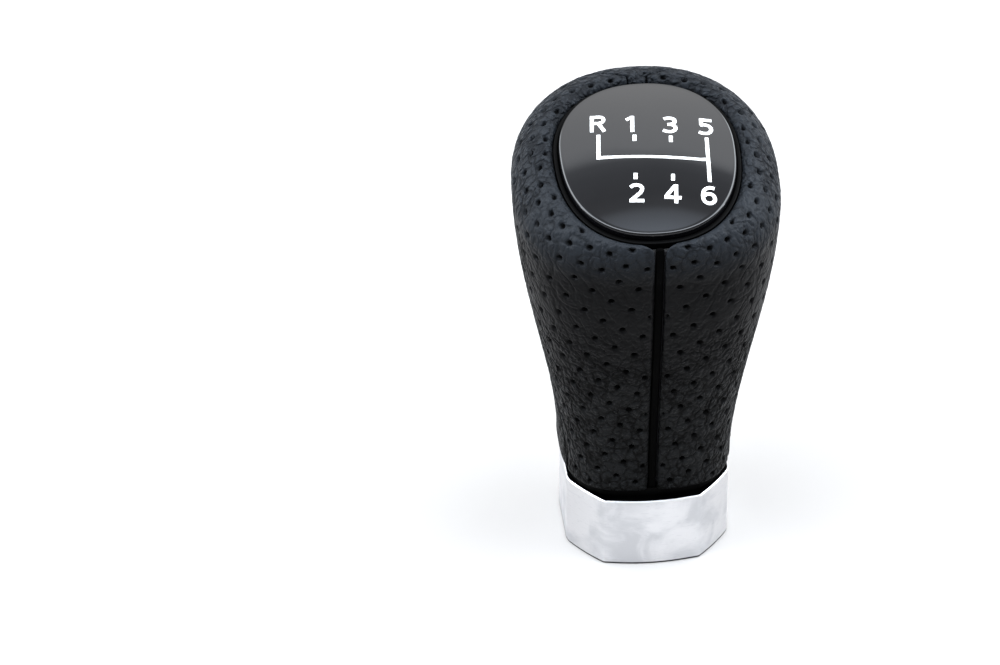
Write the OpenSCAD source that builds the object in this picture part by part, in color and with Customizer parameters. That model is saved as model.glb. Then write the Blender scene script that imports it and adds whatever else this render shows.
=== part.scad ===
// Leather-covered gear shift knob, standing on its collar.
// +Z runs up the lever axis, -Y is the side with the front groove, and the base is at z = 0.

/* [Body] */
// Width across the neck at the leather's hem
neck_w = 34.2; // [33.6:0.2:37]
// Reach of the neck in front of the lever axis
neck_front = 19.1; // [18.8:0.1:21.6]
// Reach of the neck behind the lever axis
neck_back = 16.9; // [16.6:0.1:18.6]
// Squareness of the neck's front corners, where 2 is a plain ellipse
neck_square = 3.25; // [2.8:0.05:3.6]
// Width across the head at its widest line
head_w = 51.6; // [47:0.2:58]
// Reach of the head in front of the lever axis, along the tilted widest line
head_front = 25.8; // [25.4:0.1:28]
// Reach of the head behind the lever axis, along the tilted widest line
head_back = 26.7; // [25:0.1:30]
// Squareness of the head's front half
head_square = 2.6; // [2.3:0.05:2.8]
// Squareness of the whole body's back half
back_square = 2.2; // [2:0.05:2.5]
// Height of the head's widest line over the base, on the lever axis
head_z = 80.2; // [76:0.2:92]
// Lean of the head's top towards the front, in degrees
head_tilt = 15; // [11:0.2:20]
// Place of the head's middle behind the lever axis
head_shift = -0.2; // [-2:0.1:2]
// Rise of the leather's rim over the widest line
crown_h = 8.5; // [8:0.1:11]
// Roundness of the crown, where 2 is a quarter of an ellipse
crown_full = 1.6; // [1.4:0.05:2.2]

/* [Leather] */
// Thickness of the leather
leather_t = 1.2; // [0.9:0.05:1.3]
// Radius of the rounded panel edges along the seams and the groove
edge_roll = 0.8; // [0.4:0.05:0.85]
// Radius of the leather's roll into the badge recess
rim_roll = 1.5; // [1.4:0.05:1.9]
// Depth of the turned-in leather below the rim
rim_depth = 2.2; // [2:0.1:2.4]
// Width of leather folded in under the foam at the hem
hem_tuck = 2; // [1.2:0.1:2.4]
// Width of the front groove between the two front panels
groove_w = 1.9; // [1.5:0.1:3]
// Depth of the piping strip below the leather's face
strip_sink = 0.6; // [0.2:0.05:0.7]
// Width of the gap between two panels at a side seam
seam_gap = 0.2; // [0.1:0.05:0.4]
// Angle of a side seam's foot in front of the widest point, in degrees
seam_foot = 34; // [28:1:40]
// Width of the rear panel where it ends at the rim
tongue_w = 3.8; // [3.2:0.1:6]
// How late the side seams turn to the back on their way up
seam_ease = 1.75; // [1.4:0.05:2.2]

/* [Badge] */
// Width of the badge cap
cap_w = 33.8; // [31:0.2:35]
// Reach of the badge cap in front of the lever axis, along its own plane
cap_front = 20.8; // [19:0.1:21.2]
// Reach of the badge cap behind the lever axis, along its own plane
cap_back = 16.7; // [15.4:0.1:17.4]
// Squareness of the cap's front half
cap_square = 2.3; // [2:0.05:2.6]
// Rise of the cap's dome over its rounded edge
cap_dome = 1.8; // [0.8:0.1:3]
// Radius of the cap's rounded edge
cap_round = 0.6; // [0.3:0.1:0.9]
// Height of the cap's edge over the leather's rim
cap_lift = 0.8; // [0:0.1:1.2]
// Height of the cap's edge over the bezel's face
cap_stand = 1.5; // [1.2:0.1:2]
// Depth of the cap below the bezel's face
cap_seat = 1.4; // [1.2:0.1:1.6]
// Width of the bezel round the cap
bezel_w = 1; // [0.8:0.1:1.4]
// Thickness of the shelf that carries the cap
shelf_t = 1; // [0.8:0.1:1.2]
// Width of the shelf under the cap's edge
shelf_w = 3.4; // [3:0.1:4]
// Thickness of the badge carrier's floor
carrier_t = 1.6; // [1.2:0.1:1.8]
// Diameter of the carrier's stem
stem_d = 7.8; // [6:0.2:8.4]
// Width of a bezel hook
hook_w = 4; // [3:0.2:5]
// Thickness of a bezel hook
hook_t = 1.2; // [1:0.1:1.5]
// Overhang of a hook's barb under the carrier's floor
hook_barb = 0.6; // [0.4:0.1:0.8]

/* [Collar] */
// Height of the collar
collar_h = 16.2; // [15:0.1:20]
// Step from the leather's side in to the collar's side
collar_step = 0.6; // [0.4:0.1:1]
// Step from the leather's front out to the front corners of the collar
collar_proud = 0.1; // [0:0.1:0.4]
// Width of the collar's front between its corners
collar_flat = 19.2; // [17:0.2:21]
// Bow of the collar's front between its corners
collar_bow = 1; // [0.2:0.1:1.4]
// Distance from the lever axis forward to where the chamfers start
collar_side = 11.6; // [11:0.1:12.4]
// Bow of the chamfers
chamfer_bow = 0.3; // [0.1:0.05:0.5]
// Draw-in of the collar's sides at the chamfers
side_draw = 0.3; // [0:0.1:0.6]
// Radius of the collar's two front corners
collar_corner = 2.2; // [1.8:0.1:3]
// Radius of the corners between the chamfers and the collar's sides
side_corner = 4; // [3:0.1:4.6]
// Bevel along the collar's top and bottom edges
collar_bevel = 0.45; // [0.2:0.05:0.6]
// Thickness of the collar's wall
collar_wall = 1.4; // [1.1:0.1:1.7]
// Thickness of the plate that closes the collar's top
plate_t = 2.6; // [2.4:0.1:3]
// Metal left between the socket's hole and the rear screw's recess
hole_web = 0.4; // [0.3:0.05:0.6]

/* [Base ring] */
// Height of the black band between the collar and the leather
band_h = 1.7; // [1.2:0.1:2.4]
// Step from the leather's face in to the band's face
band_inset = 1; // [0.6:0.1:1.6]
// Diameter of the two locating pegs
peg_d = 2.2; // [1.8:0.1:2.4]
// Height of the two locating pegs
peg_h = 1.8; // [1.2:0.1:2]

/* [Lever socket] */
// Bore for the lever
bore_d = 12.2; // [11.6:0.1:12.6]
// Wall of the socket tube round the bore
socket_wall = 2.4; // [2.2:0.05:2.6]
// Height of the socket's mouth over the base
mouth_z = 1; // [0.5:0.1:2.5]
// Length of the bore's wall, from its mouth to its end
bore_l = 49; // [46:0.5:52]
// Width of the keyway along the bore
key_w = 3; // [2:0.1:4]
// Depth of the keyway
key_depth = 1.2; // [0.8:0.1:1.4]
// Height of the keyway's end over the base
key_top = 34; // [28:1:36]
// Wire of the lock spring
wire_d = 1.4; // [1:0.1:1.6]
// Height of the lock spring over the base
spring_z = 39; // [38:0.5:41]
// Opening of the lock spring, in degrees
spring_gap = 62; // [40:2:90]
// Clearance of the seated lock spring outside the bore
spring_clear = 0.25; // [0.2:0.05:0.35]
// Thickness of the rubber end buffer
buffer_t = 2.9; // [2:0.1:3.4]
// Diameter of the rubber end buffer
buffer_d = 9.8; // [8:0.2:10.4]
// Thickness of the socket's end wall
end_wall = 3; // [2.4:0.1:4]
// Depth of the socket for the carrier's stem
stem_depth = 7; // [5:0.5:9]
// Thickness of the insert's flange
flange_t = 2.4; // [2:0.1:3]
// Thickness of a fin on the insert
fin_t = 1.6; // [1.2:0.1:2.4]
// Reach of a fin beyond the socket tube
fin_reach = 3.2; // [2:0.1:3.6]
// Height of the fins over the flange
fin_h = 30; // [20:1:34]

/* [Screws] */
// Diameter of a collar screw
screw_d = 2.6; // [2.2:0.1:2.8]
// Length of a collar screw under its head
screw_l = 12; // [10:0.5:15]
// Diameter of a screw head
head_d = 4.4; // [4:0.1:4.6]
// Height of a screw head
head_h = 1.5; // [1.2:0.1:1.6]
// Depth of a screw head below the collar's plate
head_sink = 0.1; // [0.05:0.05:0.2]
// Distance of the front screws beside the lever axis
screw_side = 9.2; // [8.6:0.1:9.6]
// Distance of the front screws in front of the lever axis
screw_front = 10.6; // [10.2:0.1:11]
// Outer diameter of a screw boss
boss_d = 5; // [4.6:0.1:5.2]

/* [Fits] */
// Clearance between curved pieces that nest
nest_gap = 0.1; // [0.08:0.01:0.14]
// Clearance round a peg, a stem or a screw's thread
seat_gap = 0.05; // [0.03:0.01:0.1]
// Clearance round a screw or the socket in the plates they pass
pass_gap = 0.3; // [0.2:0.05:0.4]

/* [Hidden] */
$fn = 64;

// Height of the leather's hem
hem_z = collar_h + band_h;
// Inset of the foam's face below the leather's face
foam_inset = leather_t + nest_gap;
// Inset of the folded hem's inner edge
tuck_inset = foam_inset + hem_tuck;
// Height of the foam's lowest edge, on the folded hem
foam_z = hem_z + leather_t + nest_gap;
// Inset of the insert's flange, inside the folded hem
flange_inset = tuck_inset + nest_gap;
// Heights in the badge's own frame, over the widest line
cap_top = crown_h + cap_lift;
bezel_top = cap_top - cap_stand;
shelf_top = bezel_top - cap_seat;
floor_top = shelf_top - shelf_t;
floor_low = floor_top - carrier_t;
leather_low = crown_h - rim_depth;
// Inset from the rim to the turned-in leather's two faces
turn_outer = rim_roll;
turn_inner = rim_roll - leather_t;
// Outer diameter of the socket tube
socket_d = bore_d + 2 * socket_wall;
// Centre of the lock spring's wire and its groove
spring_r = bore_d / 2 + spring_clear + wire_d / 2;
// Ends of the bore, the buffer's pocket and the socket
bore_end = mouth_z + bore_l;
pocket_end = bore_end + buffer_t + nest_gap;
stem_foot = pocket_end + end_wall;
socket_top = stem_foot + stem_depth;
// Distance of the two pegs behind the lever axis and beside it
peg_back = 3.6;
peg_side = (socket_d / 2 + neck_w / 2 - flange_inset) / 2;
// Half of the collar's width
collar_half = neck_w / 2 - collar_step;
collar_front = neck_front + collar_proud;
// Underside of the collar's plate, and the seats of the screw heads in it
plate_low = collar_h - plate_t;
screw_seat = plate_low + head_sink + head_h;
// Distance of the rear screw behind the lever axis
screw_back = socket_d / 2 + hole_web + head_d / 2 + 2 * pass_gap;
screw_spots = [[-screw_side, -screw_front], [screw_side, -screw_front], [0, screw_back]];

// Numbers of steps round and up the lofted pieces
body_steps = 40;
badge_steps = 48;
wall_steps = 11;
crown_steps = 5;
roll_steps = 3;
side_steps = 20;
rear_steps = 24;

// An oval is its half width, front reach, back reach, front squareness and back squareness
neck_oval = [neck_w / 2, neck_front, neck_back, neck_square, back_square];
head_oval = [head_w / 2, head_front, head_back, head_square, back_square];
cap_oval = [cap_w / 2, cap_front, cap_back, cap_square, back_square];
rim_oval = grown(cap_oval, bezel_w + nest_gap + rim_roll);

function smooth(t) = t * t * (3 - 2 * t);
function blend(low, high, t) = low * (1 - t) + high * t;
function grown(size, by) = [size[0] + by, size[1] + by, size[2] + by, size[3], size[4]];

// Point of an oval in the direction of an angle, inset from its edge
function oval(size, inset, angle) =
    let (
        front = sin(angle) < 0,
        reach = (front ? size[1] : size[2]) - inset,
        power = front ? size[3] : size[4],
        radius = pow(
            pow(abs(cos(angle)) / (size[0] - inset), power) + pow(abs(sin(angle)) / reach, power),
            -1 / power
        )
    )
    [radius * cos(angle), radius * sin(angle)];

// Point of the badge's tilted plane, raised over the widest line
function tilted(point, rise) = [
    point[0],
    head_shift + point[1] * cos(head_tilt) - rise * sin(head_tilt),
    head_z + point[1] * sin(head_tilt) + rise * cos(head_tilt)
];

// Centre line of the body, which leaves the neck upright and meets the head square
lower_pull = 0.4;
upper_pull = 0.08;
function bend(t, from, pull_low, pull_high, to) =
    from * pow(1 - t, 3) + 3 * pull_low * t * pow(1 - t, 2) + 3 * pull_high * t * t * (1 - t) + to * pow(t, 3);
function centre_y(t) =
    bend(t, 0, 0, head_shift + (head_z - hem_z) * upper_pull * sin(head_tilt), head_shift);
function rise_share(t) = bend(t, 0, lower_pull, 1 - upper_pull * cos(head_tilt), 1);

// Size of the body's section on the way from the hem to the widest line
swell_ease = 1;
lean_ease = 2.4;
function wall_oval(t) = blend(neck_oval, head_oval, smooth(pow(rise_share(t), swell_ease)));
function wall_point(t, inset, angle) =
    let (
        point = oval(wall_oval(t), inset, angle),
        lean = head_tilt * pow(rise_share(t), lean_ease)
    )
    [
        point[0],
        centre_y(t) + point[1] * cos(lean),
        blend(hem_z, head_z, rise_share(t)) + point[1] * sin(lean)
    ];

// Size of the crown's section on the way from the widest line to the rim
function crown_out(t) = pow(cos(90 * t), 2 / crown_full);
function crown_oval(t) = blend(rim_oval, head_oval, crown_out(t));
function crown_point(t, inset, angle) =
    tilted(oval(crown_oval(t), inset * crown_out(t), angle), (crown_h - inset) * pow(sin(90 * t), 2 / crown_full));

// The leather rolls over the rim, then drops straight into the badge recess
function roll_point(t, inset, angle) =
    let (radius = rim_roll - inset)
    tilted(oval(rim_oval, radius * sin(90 * t), angle), crown_h - inset - radius * (1 - cos(90 * t)));
function drop_point(t, inset, angle) =
    tilted(oval(rim_oval, rim_roll - inset, angle), blend(crown_h - rim_roll, leather_low, t));

// One surface parallel to the body's face: 0 to 1 is the wall, 1 to 2 the crown,
// 2 to 3 the roll and 3 to 4 the turned-in edge
function skin_point(way, inset, angle) =
    way < 1 ? wall_point(way, inset, angle)
    : way < 2 ? crown_point(way - 1, inset, angle)
    : way < 3 ? roll_point(way - 2, inset, angle)
    : drop_point(way - 3, inset, angle);
function skin_reach(way, angle) =
    norm(oval(way < 1 ? wall_oval(way) : crown_oval(min(way - 1, 1)), 0, angle));

function body_ways(first) = [
    for (i = [0:wall_steps - 1]) blend(first, 1, i / wall_steps),
    for (i = [0:crown_steps - 1]) 1 + i / crown_steps
];
function rim_ways() = [for (i = [0:roll_steps]) 2 + i / roll_steps, 4];
// Way up the wall at which its centre line has risen by a height
function way_at(rise) = rise / (head_z - hem_z) / (3 * lower_pull);

// Solid from stacked rings of points, each turning anticlockwise, with flat ends
module stacked(rings) {
    count = len(rings[0]);
    last = len(rings) - 1;
    sides = [
        for (k = [0:last - 1], i = [0:count - 1])
            let (a = k * count + i, b = k * count + (i + 1) % count)
            each [[a, a + count, b + count], [a, b + count, b]]
    ];
    polyhedron(
        points = [for (ring = rings) each ring],
        faces = [
            [for (i = [0:count - 1]) i],
            each sides,
            [for (i = [count - 1:-1:0]) last * count + i]
        ]
    );
}

// Ring-shaped solid from rings of points that close on themselves
module closed_loop(rings) {
    count = len(rings[0]);
    turns = len(rings);
    polyhedron(
        points = [for (ring = rings) each ring],
        faces = [
            for (k = [0:turns - 1], i = [0:count - 1])
                let (
                    j = (i + 1) % count,
                    a = k * count + i,
                    b = k * count + j,
                    c = ((k + 1) % turns) * count + i,
                    d = ((k + 1) % turns) * count + j
                )
                each [[a, c, d], [a, d, b]]
        ]
    );
}

// Angle of the right side seam on the way up, and half the angle of a width at the front or back
function seam_share(way) = way < 1 ? 0.8 * rise_share(way) : 0.8 + 0.2 * min(way - 1, 1);
function half_angle(width, reach) = asin(width / 2 / reach);
function seam_angle(way) =
    blend(-seam_foot, 90 - half_angle(tongue_w, skin_reach(2, 90)), pow(seam_share(way), seam_ease));

// Both edges of each panel on the way up, as angles
function groove_angle(way) = half_angle(groove_w, skin_reach(way, 270));
function panel_edges(panel, way) =
    panel == "left" ? [180 - seam_angle(way), 270 - groove_angle(way)]
    : panel == "right" ? [270 + groove_angle(way), 360 + seam_angle(way)]
    : panel == "rear" ? [seam_angle(way), 180 - seam_angle(way)]
    : [270 - groove_angle(way), 270 + groove_angle(way)];

// Steps from a panel's edge inwards, as shares of the edge's roll, and the fall of its face there
edge_shares = [0, 0.15, 0.5, 1];
function edge_fall(share, roll) = roll * (1 - sqrt(1 - pow(1 - share, 2)));
function panel_falls(steps, roll) = [
    for (share = edge_shares) edge_fall(share, roll),
    for (i = [1:steps - 1]) 0,
    for (k = [len(edge_shares) - 1:-1:0]) edge_fall(edge_shares[k], roll)
];
function panel_angles(panel, way, steps, roll, gap) =
    let (
        edges = panel_edges(panel, way),
        first_turn = 180 / PI / skin_reach(way, edges[0]),
        last_turn = 180 / PI / skin_reach(way, edges[1]),
        first = edges[0] + gap * first_turn,
        last = edges[1] - gap * last_turn,
        inner_first = first + roll * first_turn,
        inner_last = last - roll * last_turn
    )
    [
        for (share = edge_shares) first + share * roll * first_turn,
        for (i = [1:steps - 1]) blend(inner_first, inner_last, i / steps),
        for (k = [len(edge_shares) - 1:-1:0]) last - edge_shares[k] * roll * last_turn
    ];

// A panel of the cover: its face runs from the hem up and into the recess, its back follows inside
module panel(panel, face, back, steps, roll, gap) {
    falls = panel_falls(steps, roll);
    ways = concat(body_ways(way_at(leather_t)), rim_ways());
    half = len(ways) + 2;
    columns = len(falls);
    // Each station is a way up, an inset and whether the edge's fall counts there
    stations = [
        [0, tuck_inset, 0, 0],
        [0, face + leather_t / 2, 0, 0],
        for (way = ways) [way, face, 1, 0],
        for (k = [len(ways) - 1:-1:0]) [ways[k], back, 0, 0],
        [0, back, 0, leather_t],
        [0, tuck_inset, 0, leather_t]
    ];
    points = [
        for (station = stations)
            let (angles = panel_angles(panel, station[0], steps, roll, gap))
            for (c = [0:columns - 1])
                skin_point(station[0], station[1] + station[2] * falls[c], angles[c]) + [0, 0, station[3]]
    ];
    turns = 2 * half;
    // The facets' diagonals follow the lean of the seams
    skin = [
        for (k = [0:turns - 1], c = [0:columns - 2])
            let (
                a = k * columns + c,
                b = ((k + 1) % turns) * columns + c,
                leans_right = panel == "right" || (panel == "rear" && c < columns / 2)
            )
            each leans_right == (k < half)
                ? [[a, b, a + 1], [b, b + 1, a + 1]]
                : [[a, b, b + 1], [a, b + 1, a + 1]]
    ];
    ends = [
        for (k = [0:half - 2])
            let (
                a = k * columns,
                b = (k + 1) * columns,
                c = (turns - 2 - k) * columns,
                d = (turns - 1 - k) * columns,
                e = columns - 1
            )
            each [[a, d, c], [a, c, b], [a + e, b + e, c + e], [a + e, c + e, d + e]]
    ];
    polyhedron(points = points, faces = concat(skin, ends));
}

module leather_front_left() {
    color("#26272a")
        panel("left", 0, leather_t, side_steps, edge_roll, seam_gap / 2);
}

module leather_front_right() {
    color("#26272a")
        panel("right", 0, leather_t, side_steps, edge_roll, seam_gap / 2);
}

module leather_rear() {
    color("#2b2c30")
        panel("rear", 0, leather_t, rear_steps, edge_roll, seam_gap / 2);
}

// The piping strip lies between the front panels, below their faces
module front_strip() {
    color("#101113")
        panel("groove", strip_sink, leather_t, 2, leather_t - strip_sink - nest_gap, nest_gap);
}

// Ring of points on one of the badge's ovals at a height in the badge's frame
function badge_ring(offset, rise) = [
    for (i = [0:badge_steps - 1])
        tilted(oval(grown(cap_oval, offset), 0, i * 360 / badge_steps), rise)
];

// Places the badge's small parts in its tilted plane
module on_badge(rise) {
    translate([0, head_shift, head_z])
        rotate([head_tilt, 0, 0])
            translate([0, 0, rise])
                children();
}

module at_hooks() {
    for (angle = [90, 210, 330])
        let (spot = oval(grown(cap_oval, -shelf_w / 2), 0, angle))
        translate(spot)
            rotate([0, 0, angle])
                children();
}

module badge_cap() {
    middle = (cap_back - cap_front) / 2;
    // Rings of the dome shrink towards the middle of the cap
    function dome_ring(share) =
        let (rise = cap_top + cap_dome * (1 - share * share))
        [
            for (i = [0:badge_steps - 1])
                let (edge = oval(grown(cap_oval, -cap_round), 0, i * 360 / badge_steps))
                tilted([edge[0] * share, middle + (edge[1] - middle) * share], rise)
        ];
    color("#0c0c0e")
        stacked([
            badge_ring(0, shelf_top),
            badge_ring(0, cap_top - cap_round),
            for (turn = [30, 60]) badge_ring(-cap_round * (1 - cos(turn)), cap_top - cap_round * (1 - sin(turn))),
            for (share = [1, 0.85, 0.65, 0.4, 0.12]) dome_ring(share)
        ]);
}

module badge_bezel() {
    edge = 0.15;
    outer = bezel_w;
    inner = nest_gap;
    color("#121214") {
        closed_loop([
            badge_ring(outer, floor_top),
            badge_ring(outer, bezel_top - edge),
            badge_ring(outer - edge, bezel_top),
            badge_ring(inner + edge, bezel_top),
            badge_ring(inner, bezel_top - edge),
            badge_ring(inner, shelf_top),
            badge_ring(-shelf_w, shelf_top),
            badge_ring(-shelf_w, floor_top)
        ]);
        on_badge(floor_low)
            at_hooks() {
                translate([-hook_t / 2, -hook_w / 2, -hook_t - nest_gap])
                    cube([hook_t, hook_w, carrier_t + hook_t + nest_gap + shelf_t / 2]);
                translate([0, -hook_w / 2, -hook_t - nest_gap])
                    cube([hook_t / 2 + hook_barb, hook_w, hook_t]);
            }
    }
}

module badge_pad() {
    color("#3a3a3c")
        stacked([
            badge_ring(-shelf_w - 2 * nest_gap, floor_top),
            badge_ring(-shelf_w - 2 * nest_gap, shelf_top)
        ]);
}

// Tray in the head's top that takes the bezel, on a stem that plugs into the insert
module badge_carrier() {
    tray_out = bezel_w + nest_gap + rim_roll - turn_inner;
    tray_in = bezel_w + nest_gap;
    color("#55575b")
        difference() {
            union() {
                stacked([
                    badge_ring(tray_out, floor_low),
                    badge_ring(tray_out, leather_low - nest_gap),
                    badge_ring(tray_in, leather_low - nest_gap),
                    badge_ring(tray_in, floor_top)
                ]);
                intersection() {
                    translate([0, 0, stem_foot + nest_gap])
                        cylinder(d = stem_d, h = head_z);
                    on_badge(floor_low + carrier_t / 2 - head_z)
                        cylinder(d = head_w, h = head_z);
                }
            }
            on_badge(floor_low - carrier_t)
                at_hooks()
                    translate([-hook_t / 2 - hook_barb - nest_gap, -hook_w / 2 - nest_gap, 0])
                        cube([hook_t + hook_barb + 2 * nest_gap, hook_w + 2 * nest_gap, 3 * carrier_t]);
        }
}

// Fins that lock the insert in the foam, grown all round by a clearance
module fins(clear) {
    for (angle = [0, 60, 120, 180, 240, 300])
        rotate([0, 0, angle])
            translate([0, -fin_t / 2 - clear, hem_z + flange_t - clear])
                cube([socket_d / 2 + fin_reach + clear, fin_t + 2 * clear, fin_h + 2 * clear]);
}

module at_screws() {
    for (spot = screw_spots)
        translate(spot)
            children();
}

module at_pegs() {
    for (side = [-1, 1])
        translate([side * peg_side, peg_back])
            children();
}

// The bosses close over the screws' tips
boss_cover = 1.5;
boss_top = screw_seat + screw_l + boss_cover;

// Foam moulded round the insert, open at the top for the badge carrier
module foam_body() {
    step = 360 / body_steps;
    function skin_ring(way, inset) = [for (i = [0:body_steps - 1]) skin_point(way, inset, i * step)];
    function rim_ring(inset, rise) = [for (i = [0:body_steps - 1]) tilted(oval(rim_oval, inset, i * step), rise)];
    function foot_ring(inset, z) = [
        for (i = [0:body_steps - 1])
            let (point = oval(neck_oval, inset, i * step)) [point[0], point[1], z]
    ];
    flange_roof = hem_z + flange_t + nest_gap;
    color("#2a2a2c")
        difference() {
            stacked([
                foot_ring(tuck_inset, flange_roof),
                foot_ring(tuck_inset, foam_z),
                for (way = body_ways(way_at(leather_t + nest_gap))) skin_ring(way, foam_inset),
                skin_ring(2, foam_inset),
                rim_ring(turn_inner - nest_gap, crown_h - foam_inset),
                rim_ring(turn_inner - nest_gap, floor_low - nest_gap)
            ]);
            cylinder(d = socket_d + 2 * nest_gap, h = socket_top + nest_gap);
            cylinder(d = stem_d + 2 * nest_gap, h = head_z + crown_h);
            fins(nest_gap);
            at_screws()
                cylinder(d = boss_d + 2 * nest_gap, h = boss_top + nest_gap);
            on_badge(floor_low - 2 * hook_t - nest_gap)
                at_hooks()
                    cylinder(d = hook_w + 2 * hook_barb + 2, h = 2 * hook_t + 2 * nest_gap);
        }
}

module neck_plate(inset, thickness) {
    linear_extrude(thickness)
        polygon([for (i = [0:badge_steps - 1]) oval(neck_oval, inset, i * 360 / badge_steps)]);
}

// Stiff insert: the lever's socket, a flange with screw bosses, fins and a seat for the stem
module socket_insert() {
    color("#3c3e42")
        difference() {
            union() {
                translate([0, 0, mouth_z])
                    cylinder(d = socket_d, h = socket_top - mouth_z);
                translate([0, 0, hem_z])
                    neck_plate(flange_inset, flange_t);
                fins(0);
                // The bosses start over the folded hem, which reaches under the rear one
                at_screws()
                    translate([0, 0, foam_z])
                        cylinder(d = boss_d, h = boss_top - foam_z);
            }
            translate([0, 0, mouth_z])
                cylinder(d = bore_d, h = bore_l);
            cylinder(d1 = bore_d + 2 * mouth_z + 2, d2 = bore_d, h = mouth_z + 1);
            translate([0, 0, bore_end - 1])
                cylinder(d = buffer_d + 2 * nest_gap, h = pocket_end - bore_end + 1);
            translate([0, 0, stem_foot])
                cylinder(d = stem_d + 2 * seat_gap, h = stem_depth + 1);
            // Keyway at the bore's front
            translate([-key_w / 2, -bore_d / 2 - key_depth, mouth_z - 1])
                cube([key_w, bore_d / 2 + key_depth, key_top - mouth_z + 1]);
            // Groove for the lock spring
            translate([0, 0, spring_z - wire_d / 2 - nest_gap])
                cylinder(r = spring_r + wire_d / 2 + nest_gap, h = wire_d + 2 * nest_gap);
            at_screws()
                translate([0, 0, hem_z - 1])
                    cylinder(d = screw_d + 2 * seat_gap, h = boss_top - boss_cover / 2 - hem_z + 1);
            at_pegs()
                translate([0, 0, hem_z - 1])
                    cylinder(d = peg_d + 2 * seat_gap, h = peg_h + 1 + nest_gap);
        }
}

// Open ring of spring wire, drawn as it sits when the lever is in
module lock_spring() {
    color("#b9bcc0")
        translate([0, 0, spring_z])
            rotate([0, 0, 90 + spring_gap / 2])
                rotate_extrude(angle = 360 - spring_gap)
                    translate([spring_r, 0])
                        circle(d = wire_d, $fn = 24);
}

module end_buffer() {
    color("#1d1d1d")
        translate([0, 0, bore_end])
            cylinder(d = buffer_d, h = buffer_t);
}

// Rounded corner between two edges, as a short curve that starts and ends a cut away from it
function toward(from, to) = (to - from) / norm(to - from);
function curve(before, point, after, cut, steps) = [
    for (i = [0:steps])
        let (t = i / steps)
        point + toward(point, before) * cut * pow(1 - t, 2) + toward(point, after) * cut * t * t
];
function corner(before, point, after, radius) =
    curve(before, point, after, radius / tan(acos(toward(point, before) * toward(point, after)) / 2), 5);

// Point outside the middle of an edge, about which a curve bows the edge by a height
bow_share = 0.7;
function crest(from, to, bow) =
    let (run = toward(from, to))
    (from + to) / 2 + [run[1], -run[0]] * bow / (1 - bow_share / 2);
function bowed(from, to, bow) =
    let (top = crest(from, to, bow))
    curve(from, top, to, bow_share * norm(top - from), 6);

// The collar's outline: a bowed front, two chamfers, sides that draw in a little and a round back
collar_outline =
    let (
        front_left = [-collar_flat / 2, -collar_front],
        front_right = [collar_flat / 2, -collar_front],
        side_right = [collar_half - side_draw, -collar_side],
        side_left = [side_draw - collar_half, -collar_side],
        front_top = crest(front_left, front_right, collar_bow),
        right_top = crest(front_right, side_right, chamfer_bow),
        left_top = crest(side_left, front_left, chamfer_bow)
    )
    [
        each bowed(front_left, front_right, collar_bow),
        each corner(front_top, front_right, right_top, collar_corner),
        each bowed(front_right, side_right, chamfer_bow),
        each corner(right_top, side_right, [collar_half, 0], side_corner),
        for (i = [0:24]) collar_half * [cos(i * 7.5), sin(i * 7.5)],
        each corner([-collar_half, 0], side_left, left_top, side_corner),
        each bowed(side_left, front_left, chamfer_bow),
        each corner(left_top, front_left, front_top, collar_corner)
    ];

// The same outline moved inwards by a distance
function inward(from, to) = let (run = toward(from, to)) [-run[1], run[0]];
function outline_inset(points, distance) = [
    for (i = [0:len(points) - 1])
        let (
            before = points[(i + len(points) - 1) % len(points)],
            after = points[(i + 1) % len(points)],
            first = inward(before, points[i]),
            second = inward(points[i], after)
        )
        points[i] + distance * (first + second) / (1 + first * second)
];
function outline_ring(inset, z) = [for (point = outline_inset(collar_outline, inset)) [point[0], point[1], z]];

module collar() {
    color("#c8cacd")
        difference() {
            stacked([
                outline_ring(collar_bevel, 0),
                outline_ring(0, collar_bevel),
                outline_ring(0, collar_h - collar_bevel),
                outline_ring(collar_bevel, collar_h)
            ]);
            translate([0, 0, -1])
                linear_extrude(collar_h - plate_t + 1)
                    polygon(outline_inset(collar_outline, collar_wall));
            cylinder(d = socket_d + 2 * pass_gap, h = collar_h + 1);
            at_screws() {
                cylinder(d = screw_d + 2 * pass_gap, h = collar_h + 1);
                // Recess that takes the head
                cylinder(d = head_d + 2 * pass_gap, h = screw_seat);
            }
        }
}

// Black plate that closes the hem, with the band that shows above the collar
module base_ring() {
    color("#141416") {
        difference() {
            translate([0, 0, collar_h])
                neck_plate(band_inset, band_h);
            cylinder(d = socket_d + 2 * pass_gap, h = hem_z + 1);
            at_screws()
                cylinder(d = screw_d + 2 * pass_gap, h = hem_z + 1);
        }
        at_pegs()
            translate([0, 0, hem_z - band_h / 2])
                cylinder(d = peg_d, h = peg_h + band_h / 2);
    }
}

// Three screws, put in from below through the collar's plate
module collar_screws() {
    slot_w = 0.7;
    slot_l = head_d * 0.6;
    color("#8f9296")
        at_screws()
            difference() {
                union() {
                    translate([0, 0, screw_seat - head_h])
                        cylinder(d1 = head_d - 0.8, d2 = head_d, h = head_h / 2);
                    translate([0, 0, screw_seat - head_h / 2])
                        cylinder(d = head_d, h = head_h / 2);
                    translate([0, 0, screw_seat - head_h / 2])
                        cylinder(d = screw_d, h = screw_l + head_h / 2 - screw_d / 2);
                    translate([0, 0, screw_seat + screw_l - screw_d / 2])
                        cylinder(d1 = screw_d, d2 = screw_d / 4, h = screw_d / 2);
                }
                for (turn = [0, 90])
                    rotate([0, 0, turn])
                        translate([-slot_l / 2, -slot_w / 2, screw_seat - head_h - 1])
                            cube([slot_l, slot_w, head_h * 0.6 + 1]);
            }
}

collar();
base_ring();
collar_screws();
leather_front_left();
leather_front_right();
leather_rear();
front_strip();
foam_body();
socket_insert();
lock_spring();
end_buffer();
badge_carrier();
badge_bezel();
badge_cap();
badge_pad();
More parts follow.
